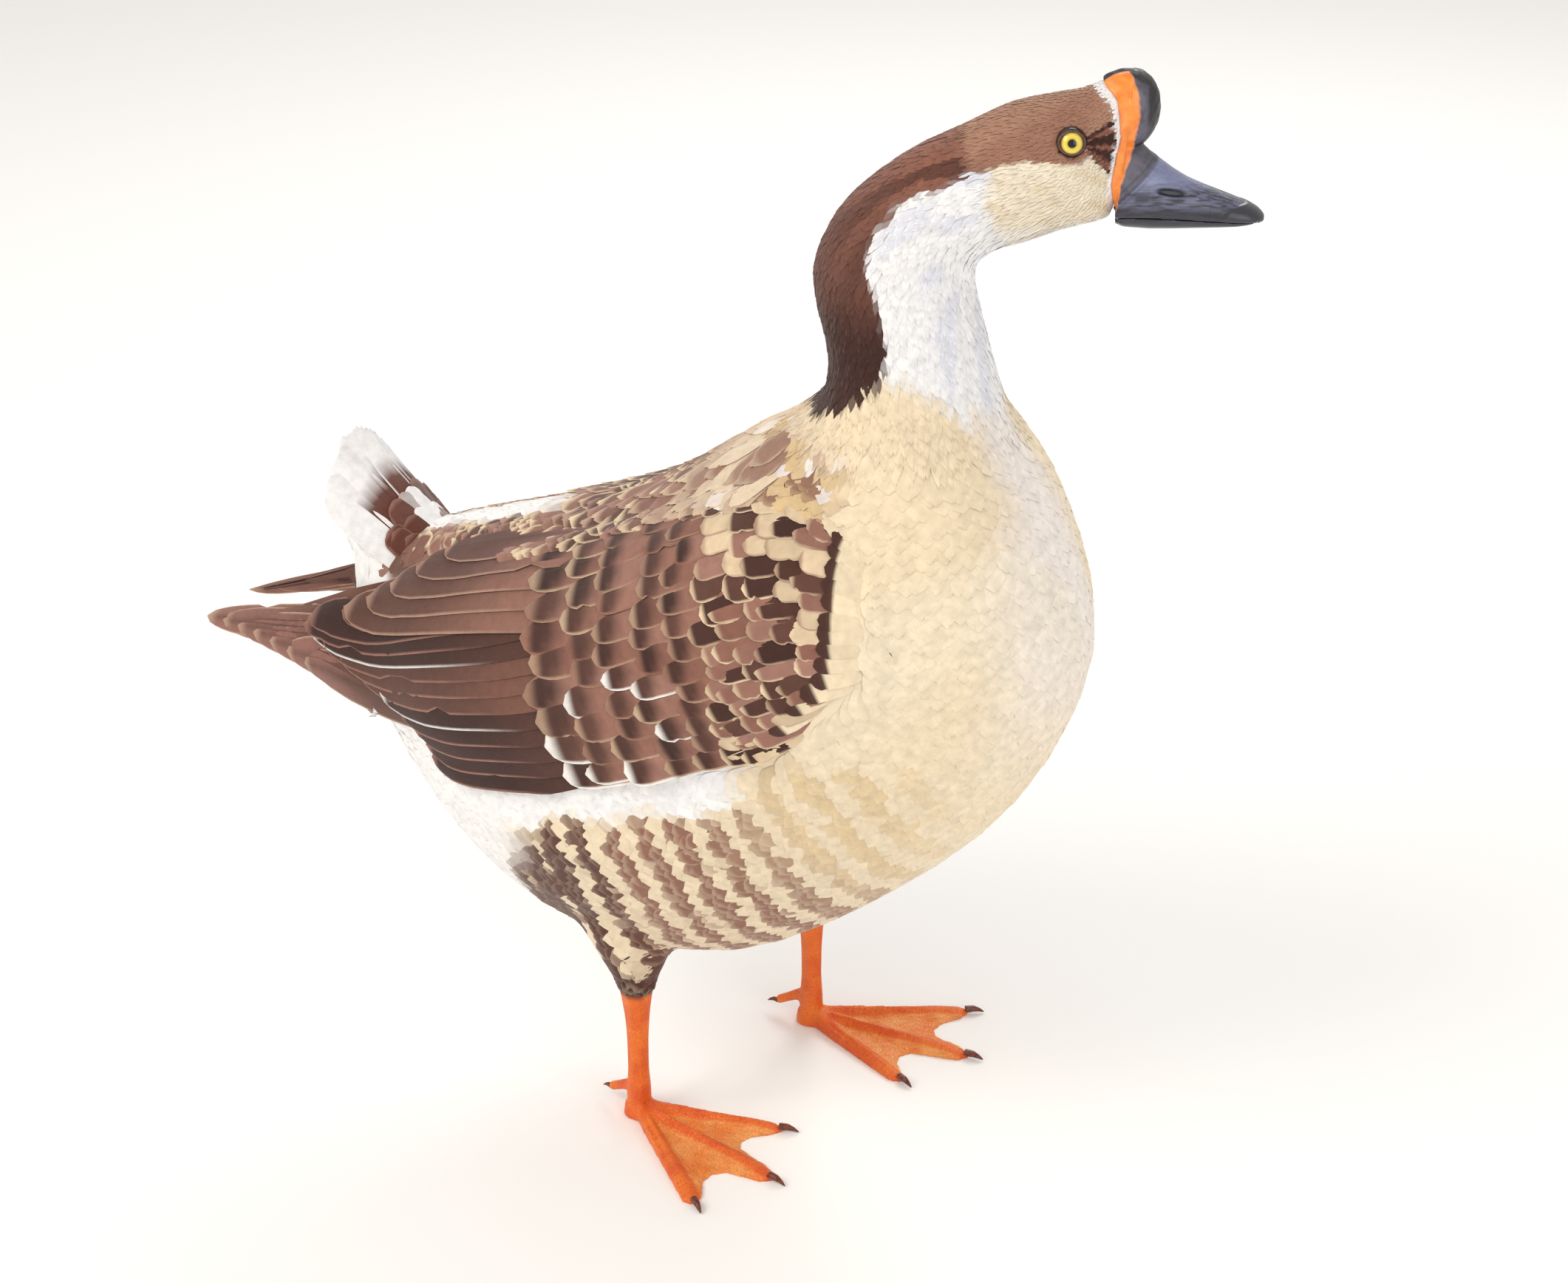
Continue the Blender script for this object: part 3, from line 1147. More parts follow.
def made_feathers(piece, finish, mirror=False, name=None, facing=None):
    """One mesh of all the feathers laid for a piece. Each has its own cell on the flat map."""
    name = name or piece
    faces, flat = [], []
    cells = math.ceil(math.sqrt(len(BED[piece])))
    count = 0
    for number, (place, grown, _, _) in enumerate(BED[piece]):
        rows, columns = place.shape[:2]
        index = count + np.arange(rows * columns).reshape(rows, columns)
        quads = np.stack([index[:-1, :-1], index[:-1, 1:], index[1:, 1:], index[1:, :-1]], axis=-1)
        faces.append(quads.reshape(-1, 4))
        cell = np.array([number % cells, number // cells]) / cells
        spot = np.stack([grown[..., 0] * 0.45, (grown[..., 1] - 0.5) * 0.9], axis=-1)
        flat.append((cell + (0.5 + spot) / cells).reshape(-1, 2))
        count += rows * columns
    faces, flat = np.concatenate(faces), np.concatenate(flat)
    points, grow, tint, rim = (
        np.concatenate([part.reshape(-1, 3) for part in parts]) for parts in zip(*BED[piece])
    )
    if mirror:
        points = points * (1, -1, 1)
    first = points[faces[0]]
    normal = np.cross(first[1] - first[0], first[3] - first[0])
    if normal @ (first[0] - [first[0][0], 0, 0.25] if facing is None else np.array(facing)) < 0:
        faces = faces[:, ::-1]
    data = bpy.data.meshes.new(name)
    data.from_pydata(points.tolist(), [], faces.tolist())
    store(data, "grow", grow)
    for key, colour in (("tint", tint), ("rim", rim)):
        store(data, key, np.c_[colour, np.ones(len(colour))], "FLOAT_COLOR", "color")
    flat = flat[faces.ravel()].astype(np.float32)
    data.uv_layers.new(name="OFBake").data.foreach_set("uv", flat.ravel())
    data.shade_smooth()
    data.materials.append(finish)
    obj = as_object(name, data)
    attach(obj, "root")
    print(name, len(BED[piece]), "feathers", 2 * len(faces), "triangles")
    return obj


def blend(first, second, share):
    """A colour between two named ones."""
    return PAINT[first] + (PAINT[second] - PAINT[first]) * share


def darker_tip(base, tip, start=0.35, end=0.8):
    """A feather's colour that runs from base to tip along its length."""
    return lambda along, across: base + (tip - base) * ramp(along, start, end)[..., None]


def streaked(base, dark, start=0.35, end=0.8):
    """A quill's colour: darker beside the shaft and towards the end."""

    def colour(along, across):
        share = ramp(along, start, end) * 0.9 + 0.6 * np.exp(-((across / 0.3) ** 2))
        return base + (dark - base) * np.clip(share, 0, 1)[..., None]

    return colour


for k in range(7):  # primaries: the outermost quills make the wing's point
    end = 1.0 - 0.033 * k
    lay_vane(
        "quills",
        wing_place,
        (0.50, 0.42 + 0.05 * k),
        (end, 0.30 + 0.085 * k),
        0.0135 + 0.0005 * k,
        streaked(blend("wing_brown", "wing_tip", 0.6), blend("wing_dark", "wing_brown", 0.35), 0.95, 0.5),
        blend("wing_tip", "wing_buff", 0.35),
        rows=22,
        height=(-0.0010, 0.0002 + 0.0003 * k),
        tilt=0.0005,
    )
for k in range(13):  # secondaries, from the lowest and shortest to the upper ones
    share = k / 12
    down = 0.97 - 0.80 * share
    end = 0.575 + 0.235 * ramp(np.array(share), 0.0, 0.8) - 0.10 * ramp(np.array(share), 0.8, 1.0)
    deep = 1.0 if k < 5 or k in (8, 9, 10) else 0.35  # they lie in dark and in brown groups
    lay_vane(
        "quills",
        wing_place,
        (0.30 + 0.08 * share, down - 0.02),
        (float(end), down - 0.01 + 0.05 * (1 - share)),
        0.0150 + 0.0025 * share,
        streaked(
            blend("wing_brown", "wing_dark", 0.75 * deep),
            blend("wing_dark", "wing_brown", 0.4 * (1 - deep)),
            0.15,
            0.60,
        ),
        blend("wing_warm", "neck_white", 0.8) if k in (4, 8) else blend("wing_brown", "wing_warm", 0.6),
        rows=20,
        height=(-0.0005, 0.0020 + 0.0006 * share),
        tilt=0.0011,
        bend=-0.02,
    )
for k in range(5):  # tertials: broad and soft, over the wing's upper edge
    lay_vane(
        "quills",
        wing_place,
        (0.28 + 0.015 * k, 0.36 - 0.085 * k),
        (0.745 - 0.032 * k, 0.20 - 0.075 * k),
        0.0205,
        streaked(blend("wing_brown", "wing_warm", 0.35), blend("wing_brown", "wing_dark", 0.7)),
        blend("wing_warm", "wing_buff", 0.15),
        rows=18,
        height=(0.0005, 0.0034 + 0.0003 * k),
        tilt=0.0014,
        bend=-0.02,
    )


def covert_row(
    tips, length, half_width, tint, rim, height, top=0.02, bottom=0.99, wobble=0.010, bow=0.0
):
    """A row of coverts across the wing, from its lower edge up. Tips are the shares of the
    wing's length that it reaches above and below; bow sets its low end back."""
    ends = wing_place(np.full(12, sum(tips) / 2), np.linspace(top, bottom, 12))
    arc = np.linalg.norm(np.diff(ends, axis=0), axis=1).sum()
    count = max(3, round(arc / (half_width * 1.25)))
    for k in range(count):
        down = bottom - (bottom - top) * (k + 0.5 + luck.uniform(-0.12, 0.12)) / count
        tip = tips[0] + (tips[1] - tips[0]) * down + luck.uniform(-wobble, wobble)
        tip += bow * float(low_corner(down))
        reach = length * luck.uniform(0.92, 1.08) * METRE
        colour, edge = tint(down), rim(down)
        lay_vane(
            "coverts",
            wing_place,
            (tip - reach, down - 0.05),
            (tip, down + 0.015),
            half_width * luck.uniform(0.86, 1.18),
            colour,
            edge,
            rows=12,
            height=height,
            tilt=0.0007 * luck.uniform(0.4, 1.5),
            camber=0.0009,
            outline=COVERT_OUTLINE,
            shaft=0.0003,
            splits=0.8,
        )


def crescents(down):
    """Coverts in mid brown whose ends darken into crescents."""
    base = blend("wing_brown", "wing_warm", luck.uniform(0.0, 0.9))
    dark = blend("wing_dark", "wing_brown", luck.uniform(0, 0.3))

    def colour(along, across):
        share = ramp(along - 0.10 * across**2, 0.60, 0.80) * (1 - 0.25 * ramp(along, 0.93, 1.0))
        return base + (dark - base) * share[..., None]

    return colour


def covert_edge(down):
    """Their edges: warm brown above, a few in buff or white lower down."""
    if 0.55 < down < 0.95 and luck.random() < 0.34:
        return blend("wing_buff", "neck_white", 0.8)
    return blend("wing_brown", "wing_buff", luck.uniform(0.0, 0.55))


def scales(down):
    """Lesser coverts: brown patches, some nearly black-brown, in broad buff edges."""
    kind = luck.random()
    if kind < 0.35:
        return blend("wing_dark", "wing_brown", luck.uniform(0.0, 0.4))
    if kind < 0.80:
        return blend("wing_brown", "wing_warm", luck.uniform(0, 1))
    return blend("wing_buff", "wing_warm", 0.15)


def scale_edge(down):
    """Their edges, from mid brown to buff."""
    return blend("wing_brown", "wing_buff", luck.uniform(0.3, 1.0))


def dark_ends(down):
    """Feathers of the breast that close the wing's front, each with a dark end."""
    return darker_tip(PAINT["breast"], blend("wing_dark", "wing_brown", 0.15), 0.70, 0.78)


for tips, length, half_width, rise in (
    ((0.480, 0.365), 0.100, 0.0150, 0.0036),
    ((0.425, 0.315), 0.066, 0.0135, 0.0040),
    ((0.372, 0.268), 0.060, 0.0125, 0.0042),
    ((0.322, 0.226), 0.054, 0.0118, 0.0043),
    ((0.276, 0.188), 0.048, 0.0110, 0.0043),
):
    covert_row(tips, length, half_width, crescents, covert_edge, (0.0010, rise))
for k in range(5):
    tips, length, half_width = (0.232 - 0.032 * k, 0.154 - 0.018 * k), 0.036 - 0.0014 * k, 0.0104 - 0.0004 * k
    covert_row(tips, length, half_width, scales, scale_edge, (0.0006, 0.0042 - 0.0002 * k), bow=0.012 * k)
covert_row(
    (0.068, 0.060),
    0.026,
    0.0076,
    dark_ends,
    dark_ends,
    (0.0, 0.0040),
    top=0.0,
    bottom=0.90,
    wobble=0.0015,
    bow=CORNER_BOW,
)
FLIGHT = feather_material("flight_feather_keratin", "#472922", (0.86, 0.98), (0.955, 0.995), 0.35, 1.6, 0.05)
COVERT = feather_material("covert_feather_keratin", "#8b5e4e", (0.80, 0.96), (0.87, 0.97), 0.30, 1.0, 0.06)
for hand in ("right", "left"):
    made_feathers("quills", FLIGHT, hand == "left", f"wing_quills_{hand}")
    made_feathers("coverts", COVERT, hand == "left", f"wing_coverts_{hand}")

# The lining under the wing's point: a thin dark core that the primaries lie on.
for hand in ("right", "left"):
    core = nodes_as_one(f"wing_lining_{hand}", [f"wing_{hand}_primaries"])
    places = points_of(core.data)
    along, down, height = place_on_wing(places)
    towards_point = ramp(along, 0.70, 1.0)
    down += (0.36 - down) * 0.9 * towards_point
    side = np.sign(places[:, 1])
    height = np.minimum(height - np.maximum(height + 0.0006, 0) - 0.0002, -0.0008)
    places = wing_place(along - 0.02 * towards_point, down, height)
    places[:, 1] *= -side
    move_points(core.data, places)
    colour = np.tile((*blend("wing_dark", "wing_brown", 0.5), 1.0), (len(places), 1))
    for key in ("tint", "rim"):
        store(core.data, key, colour, "FLOAT_COLOR", "color")
    unwrapped(core, "OFBake")
    core.data.shade_smooth()
    core.data.materials.append(FLIGHT)
    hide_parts(f"wing_{hand}_primaries")
    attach(core, "root")

# ---- Tail -----------------------------------------------------------------------------------------
# A short cocked fan of sixteen stiff feathers: brown ones in the middle, white at the sides and
# at every tip, with soft white coverts over and under its base.
TAIL_RISE = math.radians(41)
TAIL_REACH = (0.118, 0.033)  # length of the middle feathers, and how much shorter the outer are
TAIL_HALF_WIDTH = (0.030, 0.044)  # at the root and at the tip
TAIL_DROOP = 0.027
TAIL_ROOT = np.array([-0.1574, 0.0, 0.354])


def tail_place(along, aside, height=0.0):
    """Points on the tail's fan: share of its length, share aside from -1 to 1, height over it."""
    along, aside = np.broadcast_arrays(np.asarray(along, float), np.asarray(aside, float))
    way = np.array([-math.cos(TAIL_RISE), 0, math.sin(TAIL_RISE)])
    over_way = np.array([math.sin(TAIL_RISE), 0, math.cos(TAIL_RISE)])
    reach = along * (TAIL_REACH[0] - TAIL_REACH[1] * aside**2)
    wide = TAIL_HALF_WIDTH[0] + (TAIL_HALF_WIDTH[1] - TAIL_HALF_WIDTH[0]) * along
    drop = TAIL_DROOP * (0.6 + 0.4 * along) * aside**2
    point = TAIL_ROOT + reach[..., None] * way + (height - drop)[..., None] * over_way
    point[..., 1] += wide * aside
    return point


for k in range(8):
    for side in (-1, 1):
        aside = side * (1 - (k + 0.5) / 8) * 0.93
        inner = 1 - abs(aside)
        brown = ramp(np.array(inner + luck.uniform(-0.03, 0.03)), 0.12, 0.20)
        base = blend("tail_white", "tail_brown", brown)
        lay_vane(
            "tail_quills",
            tail_place,
            (-0.12, aside * 0.95),
            (0.985 + luck.uniform(-0.02, 0.01), aside * 1.0),
            0.0125,
            darker_tip(base, PAINT["tail_white"], 0.66, 0.80) if inner > 0.2 else PAINT["tail_white"],
            PAINT["tail_white"],
            rows=16,
            height=(0.0, 0.0022 * inner),
            tilt=-0.0009 * side,
            camber=0.0008,
        )
tail_fan = made_feathers("tail_quills", FLIGHT)
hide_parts("tail")


def under_tail_place(along, aside, height=0.0):
    """Points on the wedge of soft feathers between the tail's fan and the body."""
    along, aside = np.broadcast_arrays(np.asarray(along, float), np.asarray(aside, float))
    deep = 0.076 * np.clip(1 - along, 0, None) ** 0.75 * np.clip(1 - aside**2, 0, None) ** 0.5 + 0.0006
    return tail_place(along, aside * 0.94, -deep - height)


SOFT = {"rows": 10, "camber": 0.0010, "outline": COVERT_OUTLINE}
UNDER_LIFT, OVER_LIFT = (0.0, 0.0032), (0.0012, 0.0044)  # height of root and tip over their bed
white = PAINT["tail_white"]
for row in range(12):
    tip = 0.90 - 0.080 * row
    for k in range(9):
        aside = (k - 4 + luck.uniform(-0.25, 0.25) + 0.5 * (row % 2)) / 4.7
        start, end = (tip - 0.36, aside * 0.9), (tip + luck.uniform(-0.03, 0.03), aside)
        lay_vane("under_tail", under_tail_place, start, end, 0.0105, white, white, height=UNDER_LIFT, **SOFT)
for row in range(5):
    tip = 0.52 - 0.11 * row
    for k in range(7):
        aside = (k - 3 + luck.uniform(-0.2, 0.2)) / 3.7
        brown = ramp(np.array(abs(aside) + luck.uniform(-0.12, 0.12)), 0.22, 0.42)
        base = blend("tail_white", "tail_brown", brown)
        edge = base + (PAINT["wing_warm"] - base) * 0.6 * brown
        start, end = (max(tip - 0.36, -0.16), aside * 0.85), (tip + luck.uniform(-0.06, 0.06), aside * 0.95)
        lay_vane("over_tail", tail_place, start, end, 0.0100, base, edge, height=OVER_LIFT, **SOFT)
made_feathers("under_tail", COVERT, name="under_tail_coverts", facing=(-0.6, 0, -0.8))
made_feathers("over_tail", COVERT, name="upper_tail_coverts", facing=(0.6, 0, 0.8))


# ---- Bill, knob and orange band -------------------------------------------------------------------
# Slate-black horn over bone, a soft black knob growing from its base, and a band of orange waxy
# skin where the feathers end. They are one surface; nostrils are slits sunk in it.
BILL_GRAIN = 0.0008
NOSTRIL = (0.0605, -0.0268, 0.0100, 0.0024)  # ahead of the eyes, over them, half-length, half-height
NAIL_START = 0.1030


bill = remade(nodes_as_one("bill_and_knob", ["bill_upper", "knob", "bill_collar"]), BILL_GRAIN, 7)
places = points_of(bill.data)
face = head_frame(places)
normals = normals_of(bill.data)
aside = np.abs(face[:, 1])
ragged = wander(places, 0.0016, 23) * 0.0004
feathered = ramp(before_line(face, FEATHER_EDGE) + ragged, -0.0004, 0.0004)
feathered *= ramp(places[:, 2], middle_of("bill_upper")[2] - 0.024, middle_of("bill_upper")[2] - 0.023)
orange = ramp(before_line(face, BAND_FRONT) + ragged, -0.0006, 0.0006) * (1 - feathered)
orange *= ramp(face[:, 2], -0.0385, -0.0365)
past_fold = (face[:, 2] + 0.0331) - (face[:, 0] - 0.0289) * 0.98  # over 0 on the knob's side
on_knob = ramp(past_fold, -0.0008, 0.0022) * (1 - orange)
cloudy = wander(places, 0.004, 24)
black = 1 - ramp(aside + 0.0012 * cloudy, 0.0085, 0.0115)
black = on_knob * np.maximum(black, ramp(face[:, 0] + 0.0006 * cloudy, 0.0435, 0.0465))
black *= ramp(face[:, 2], -0.007, 0.001)
ridge = (1 - ramp(aside + 0.0008 * cloudy, 0.0030, 0.0048)) * ramp(face[:, 2], 0.024, 0.030) * (1 - feathered)
orange, on_knob, black = orange * (1 - ridge), np.maximum(on_knob, ridge), np.maximum(black, ridge)
folds = sum(
    strength * np.exp(-(((past_fold - place) / width) ** 2))
    for strength, place, width in ((1.0, 0.0, 0.0011), (0.7, 0.0045, 0.0009), (0.5, -0.0035, 0.0008))
)
folds *= (1 - ramp(face[:, 0], 0.044, 0.054)) * (1 - orange) * (1 - feathered)
slope = face[:, 2] - NOSTRIL[1] + 0.143 * (face[:, 0] - NOSTRIL[0])
slit = ((face[:, 0] - NOSTRIL[0]) / NOSTRIL[2]) ** 2 + (slope / NOSTRIL[3]) ** 2
hole = (1 - ramp(slit, 0.25, 1.1)) * (aside > 0.004)
brim = ramp(slit, 0.8, 1.5) * (1 - ramp(slit, 1.5, 3.4)) * (aside > 0.004)
nail = ramp(face[:, 0] + 60 * aside**2, NAIL_START, NAIL_START + 0.002) * ramp(normals[:, 2], -0.2, 0.2)
rise = -0.0022 * hole + 0.0005 * brim + 0.0005 * nail - 0.0004 * folds
places += normals * rise[:, None]
wrinkle = wander(places, 0.0022, 21) * 0.00014 + wander(places, 0.005, 22) * 0.00018
places += normals * (wrinkle * np.maximum(on_knob, orange * 0.7))[:, None]
under_feathers = 0.0030 * feathered + 0.0020 * ramp(before_line(face, FEATHER_EDGE), 0.002, 0.006)
band_edge = 0.0003 * np.exp(-(((orange - 0.5) / 0.3) ** 2))
places -= normals * (under_feathers + band_edge)[:, None]
move_points(bill.data, places)
BILL_MARKS = {"orange": orange, "knob": on_knob, "black": black, "hole": hole, "nail": nail}
BILL_MARKS["folds"] = np.clip(folds, 0, 1)
for name, values in BILL_MARKS.items():
    store(bill.data, name, values, "FLOAT", "value")
store(bill.data, "face", head_frame(places) * 1000)


def layered(tree, base, layers):
    """Colours laid over a base in turn. A layer is a colour and its share of the surface, or a
    colour, a value, the two points between which it comes in, and its full strength."""
    for colour, share, *reach in layers:
        if reach:
            span = dict(zip(("From Min", "From Max", "To Max"), reach))
            share = put(tree, "ShaderNodeMapRange", {"Value": share, **span}, interpolation_type="SMOOTHSTEP")
        base = put(tree, "ShaderNodeMix", {FACTOR: share, FIRST: base, SECOND: colour}, data_type="RGBA")
    return base


def bill_material():
    """Slate horn with a waxy gloss, a matt black knob, and glossy orange skin."""
    material, tree = new_material("slate_horn_and_waxy_skin", "#4a4855")
    face = put(tree, "ShaderNodeAttribute", attribute_name="face").outputs["Vector"]
    marks = {
        name: put(tree, "ShaderNodeAttribute", attribute_name=name).outputs["Fac"] for name in BILL_MARKS
    }
    # In the head's own millimetres: clouds 6 across, streaks 20 long and under 2 wide, pores 1 apart.
    height = put(tree, "ShaderNodeSeparateXYZ", {"Vector": face}).outputs["Z"]
    cloud = put(tree, "ShaderNodeTexNoise", {"Vector": face, "Scale": 0.16, "Detail": 4.0})
    drawn_out = put(tree, "ShaderNodeMapping", {"Vector": face, "Scale": (0.05, 0.6, 0.6)})
    streaks = put(tree, "ShaderNodeTexNoise", {"Vector": drawn_out, "Scale": 1.0, "Detail": 3.0})
    matt_black = layered(tree, "#171113", [("#231c20", cloud, 0.35, 0.65, 1.0)])
    knob = layered(tree, "#4b4750", [("#5f5b69", cloud, 0.35, 0.65, 1.0), (matt_black, marks["black"])])
    wax = layered(tree, "#ef7d22", [("#fd983a", cloud, 0.3, 0.7, 1.0)])
    in_folds = put(tree, "ShaderNodeMath", {0: marks["folds"], 1: 0.75}, operation="MULTIPLY")
    colour = layered(
        tree,
        "#302e39",
        [
            ("#62637a", streaks, 0.38, 0.62, 1.0),
            ("#8a90b2", height, -30.0, -20.0, 0.65),
            ("#24222a", height, -33.0, -39.0, 0.85),
            ("#2f2d35", marks["nail"]),
            (knob, marks["knob"]),
            ("#1e1b21", in_folds),
            (wax, marks["orange"]),
            ("#0d0b0d", marks["hole"]),
        ],
    )
    gloss = put(
        tree,
        "ShaderNodeMapRange",
        {"Value": marks["knob"], "To Min": 0.30, "To Max": 0.48},
        interpolation_type="SMOOTHSTEP",
    )
    pores = put(tree, "ShaderNodeTexVoronoi", {"Vector": face, "Scale": 1.1})
    relief = put(tree, "ShaderNodeMath", {0: pores, 1: streaks}, operation="ADD")
    bump = put(tree, "ShaderNodeBump", {"Strength": 0.22, "Distance": 0.0003, "Height": relief})
    surface = {"Base Color": colour, "Roughness": gloss, "IOR": 1.54, "Coat Weight": 0.12, "Normal": bump}
    shader = put(tree, "ShaderNodeBsdfPrincipled", surface)
    put(tree, "ShaderNodeOutputMaterial", {"Surface": shader})
    return material


BILL_FINISH = bill_material()
bill.data.materials.append(BILL_FINISH)
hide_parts("bill_upper", "knob", "bill_collar")
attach(bill, "root")

lower_bill = remade(nodes_as_one("bill_under", ["bill_lower"]), BILL_GRAIN, 4)
places = points_of(lower_bill.data)
behind = 1 - ramp(head_frame(places)[:, 0], 0.024, 0.034)
places -= normals_of(lower_bill.data) * (0.0026 * behind)[:, None]
move_points(lower_bill.data, places)
for name in BILL_MARKS:
    store(lower_bill.data, name, np.zeros(len(places)), "FLOAT", "value")
store(lower_bill.data, "face", head_frame(places) * 1000)
lower_bill.data.materials.append(BILL_FINISH)
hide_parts("bill_lower")
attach(lower_bill, "root")

# ---- Eyes -------------------------------------------------------------------------------------------
# Glossy eyeballs with a yellow iris, a round black pupil and a dark rim, each in a ring of bare
# dark lid that is a little longer than high.
EYE_RADIUS = (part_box("eye_left")[1][2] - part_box("eye_left")[0][2]) / 2
LID_OPEN = (math.radians(50), math.radians(42))  # half-openings along and up, from the eye's centre
EYE_SIDES = 48
EYE_RINGS = 24
EYE_DEEP = math.radians(110)  # how far round from the pupil the ball reaches into the head
CORNEA = 0.012  # share of the radius by which the cornea bulges
# Rings of the lid from its opening outwards: angle past the opening, and distance from the eye's
# middle in radii.
LID_PROFILE = ((-0.05, 0.975), (-0.02, 1.015), (0.02, 1.055), (0.07, 1.060), (0.13, 1.03), (0.22, 0.96))
LID_PROFILE += ((0.34, 0.85),)


def eye_frame(out):
    """The gaze, forward and upward directions of the eye on one side of the head."""
    ahead = np.array([head_left[1], -head_left[0], 0.0])
    gaze = unit(out + 0.05 * ahead + 0.19 * np.array([0, 0, 1]))
    ahead = unit(ahead - gaze * (ahead @ gaze))
    up = np.cross(gaze, ahead)
    return gaze, ahead, up if up[2] > 0 else -up


def ring_form(name, rings, flip):
    """A mesh through rings of points; the first may close in a single point."""
    mesh = bmesh.new()
    angle = mesh.verts.layers.float.new("gaze")
    rows = []
    for ring, number in rings:
        row = [mesh.verts.new(point) for point in ring]
        for vert in row:
            vert[angle] = number
        rows.append(row)
    for low, high in zip(rows, rows[1:]):
        for k in range(len(high)):
            after = (k + 1) % len(high)
            inner = (low[0],) if len(low) == 1 else (low[k], low[after])
            face = (*inner, high[after], high[k])
            mesh.faces.new(face if flip else face[::-1])
    obj = as_object(name, mesh)
    obj.data.shade_smooth()
    return obj


def set_stops(rings, stops):
    """Sets the colours along a colour ramp, each from the place given with it."""
    elements = rings.color_ramp.elements
    for k, (spot, colour) in enumerate(stops):
        stop = elements[k] if k < len(elements) else elements.new(spot)
        stop.position = spot
        stop.color = (*linear(colour), 1.0)


IRIS = (  # sine of the angle from the middle of the pupil, and the colour there
    (0.0, "#050404"),
    (0.245, "#050404"),
    (0.265, "#8a6a12"),
    (0.32, "#dcc03c"),
    (0.50, "#efe05c"),
    (0.63, "#d0a82c"),
    (0.675, "#4a2d14"),
    (0.75, "#231611"),
)


def eye_material():
    """A wet cornea over a yellow iris."""
    material, tree = new_material("wet_cornea_over_yellow_iris", "#d9b13a")
    gaze = put(tree, "ShaderNodeAttribute", attribute_name="gaze").outputs["Fac"]
    place = put(tree, "ShaderNodeTexCoord").outputs["Object"]
    threads = {"Vector": place, "Scale": 1600.0, "Detail": 2.0}  # about 0.6 mm across
    fibres = put(tree, "ShaderNodeTexNoise", threads)
    rings = put(tree, "ShaderNodeValToRGB", {"Fac": gaze})
    set_stops(rings, IRIS)
    shade = put(tree, "ShaderNodeMapRange", {"Value": fibres, "To Min": 0.72, "To Max": 1.2})
    surface = {
        "Base Color": put(tree, "ShaderNodeHueSaturation", {"Value": shade, "Color": rings}),
        "Roughness": 0.06,
        "IOR": 1.376,
        "Coat Weight": 0.6,
        "Coat Roughness": 0.03,
    }
    shader = put(tree, "ShaderNodeBsdfPrincipled", surface)
    put(tree, "ShaderNodeOutputMaterial", {"Surface": shader})
    return material


def lid_material():
    """Thin bare lid skin, dark and finely wrinkled."""
    material, tree = new_material("bare_lid_skin", "#3b2620")
    place = put(tree, "ShaderNodeTexCoord").outputs["Object"]
    wrinkles = {"Vector": place, "Scale": 1400.0, "Detail": 2.0}  # about 0.7 mm apart
    folds = put(tree, "ShaderNodeTexNoise", wrinkles)
    rings = put(tree, "ShaderNodeValToRGB", {"Fac": folds})
    set_stops(rings, ((0.3, "#38221a"), (0.75, "#7b563f")))
    bump = put(tree, "ShaderNodeBump", {"Strength": 0.5, "Distance": 0.0002, "Height": folds})
    shader = put(tree, "ShaderNodeBsdfPrincipled", {"Base Color": rings, "Roughness": 0.45, "Normal": bump})
    put(tree, "ShaderNodeOutputMaterial", {"Surface": shader})
    return material


EYE_FINISH, LID_FINISH = eye_material(), lid_material()
for hand, eye, out in (("left", eye_seats[0], head_left), ("right", eye_seats[1], -head_left)):
    gaze, ahead, up = eye_frame(out)
    turns = np.linspace(0, 2 * math.pi, EYE_SIDES, endpoint=False)
    rim_way = np.outer(np.cos(turns), ahead) + np.outer(np.sin(turns), up)
    rings = [([eye + gaze * EYE_RADIUS * (1 + CORNEA)], 0.0)]
    for step in range(1, EYE_RINGS + 1):
        off = EYE_DEEP * step / EYE_RINGS
        swell = 1 + CORNEA * math.cos(min(off * 1.6, math.pi / 2)) - 0.004
        ring = eye + EYE_RADIUS * swell * (math.cos(off) * gaze + math.sin(off) * rim_way)
        rings.append((ring, math.sin(min(off, math.pi / 2))))
    ball = ring_form(f"eyeball_{hand}", rings, hand == "right")
    ball.data.materials.append(EYE_FINISH)
    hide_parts(f"eye_{hand}")
    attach(ball, "root")
    corner = np.abs(np.cos(turns)) ** 3
    wide = np.hypot(LID_OPEN[0] * np.cos(turns), LID_OPEN[1] * np.sin(turns)) + math.radians(3) * corner
    rings = []
    for off, reach in LID_PROFILE:
        here = (wide + off + 0.010 * np.sin(7 * turns) * (off > 0.1))[:, None]
        rings.append((eye + EYE_RADIUS * reach * (np.cos(here) * gaze + np.sin(here) * rim_way), 0.0))
    lid = ring_form(f"lid_{hand}", rings, hand == "right")
    lid.data.materials.append(LID_FINISH)
    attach(lid, "root")

# ---- Legs and webbed feet ----------------------------------------------------------------------------
# Bare orange legs in net-like scales, broad webbed feet with scutes along the toes and thin
# creased webs between them, and dark horn claws.
LEG_GRAIN = 0.0011
LEG_PARTS = ("shank", "foot", "hind_toe")
TOE_SPREAD = 28  # degrees between two front toes
SCUTE_WAVE = 3.14159 / 0.0042  # half a wave for each scute, 4.2 mm long


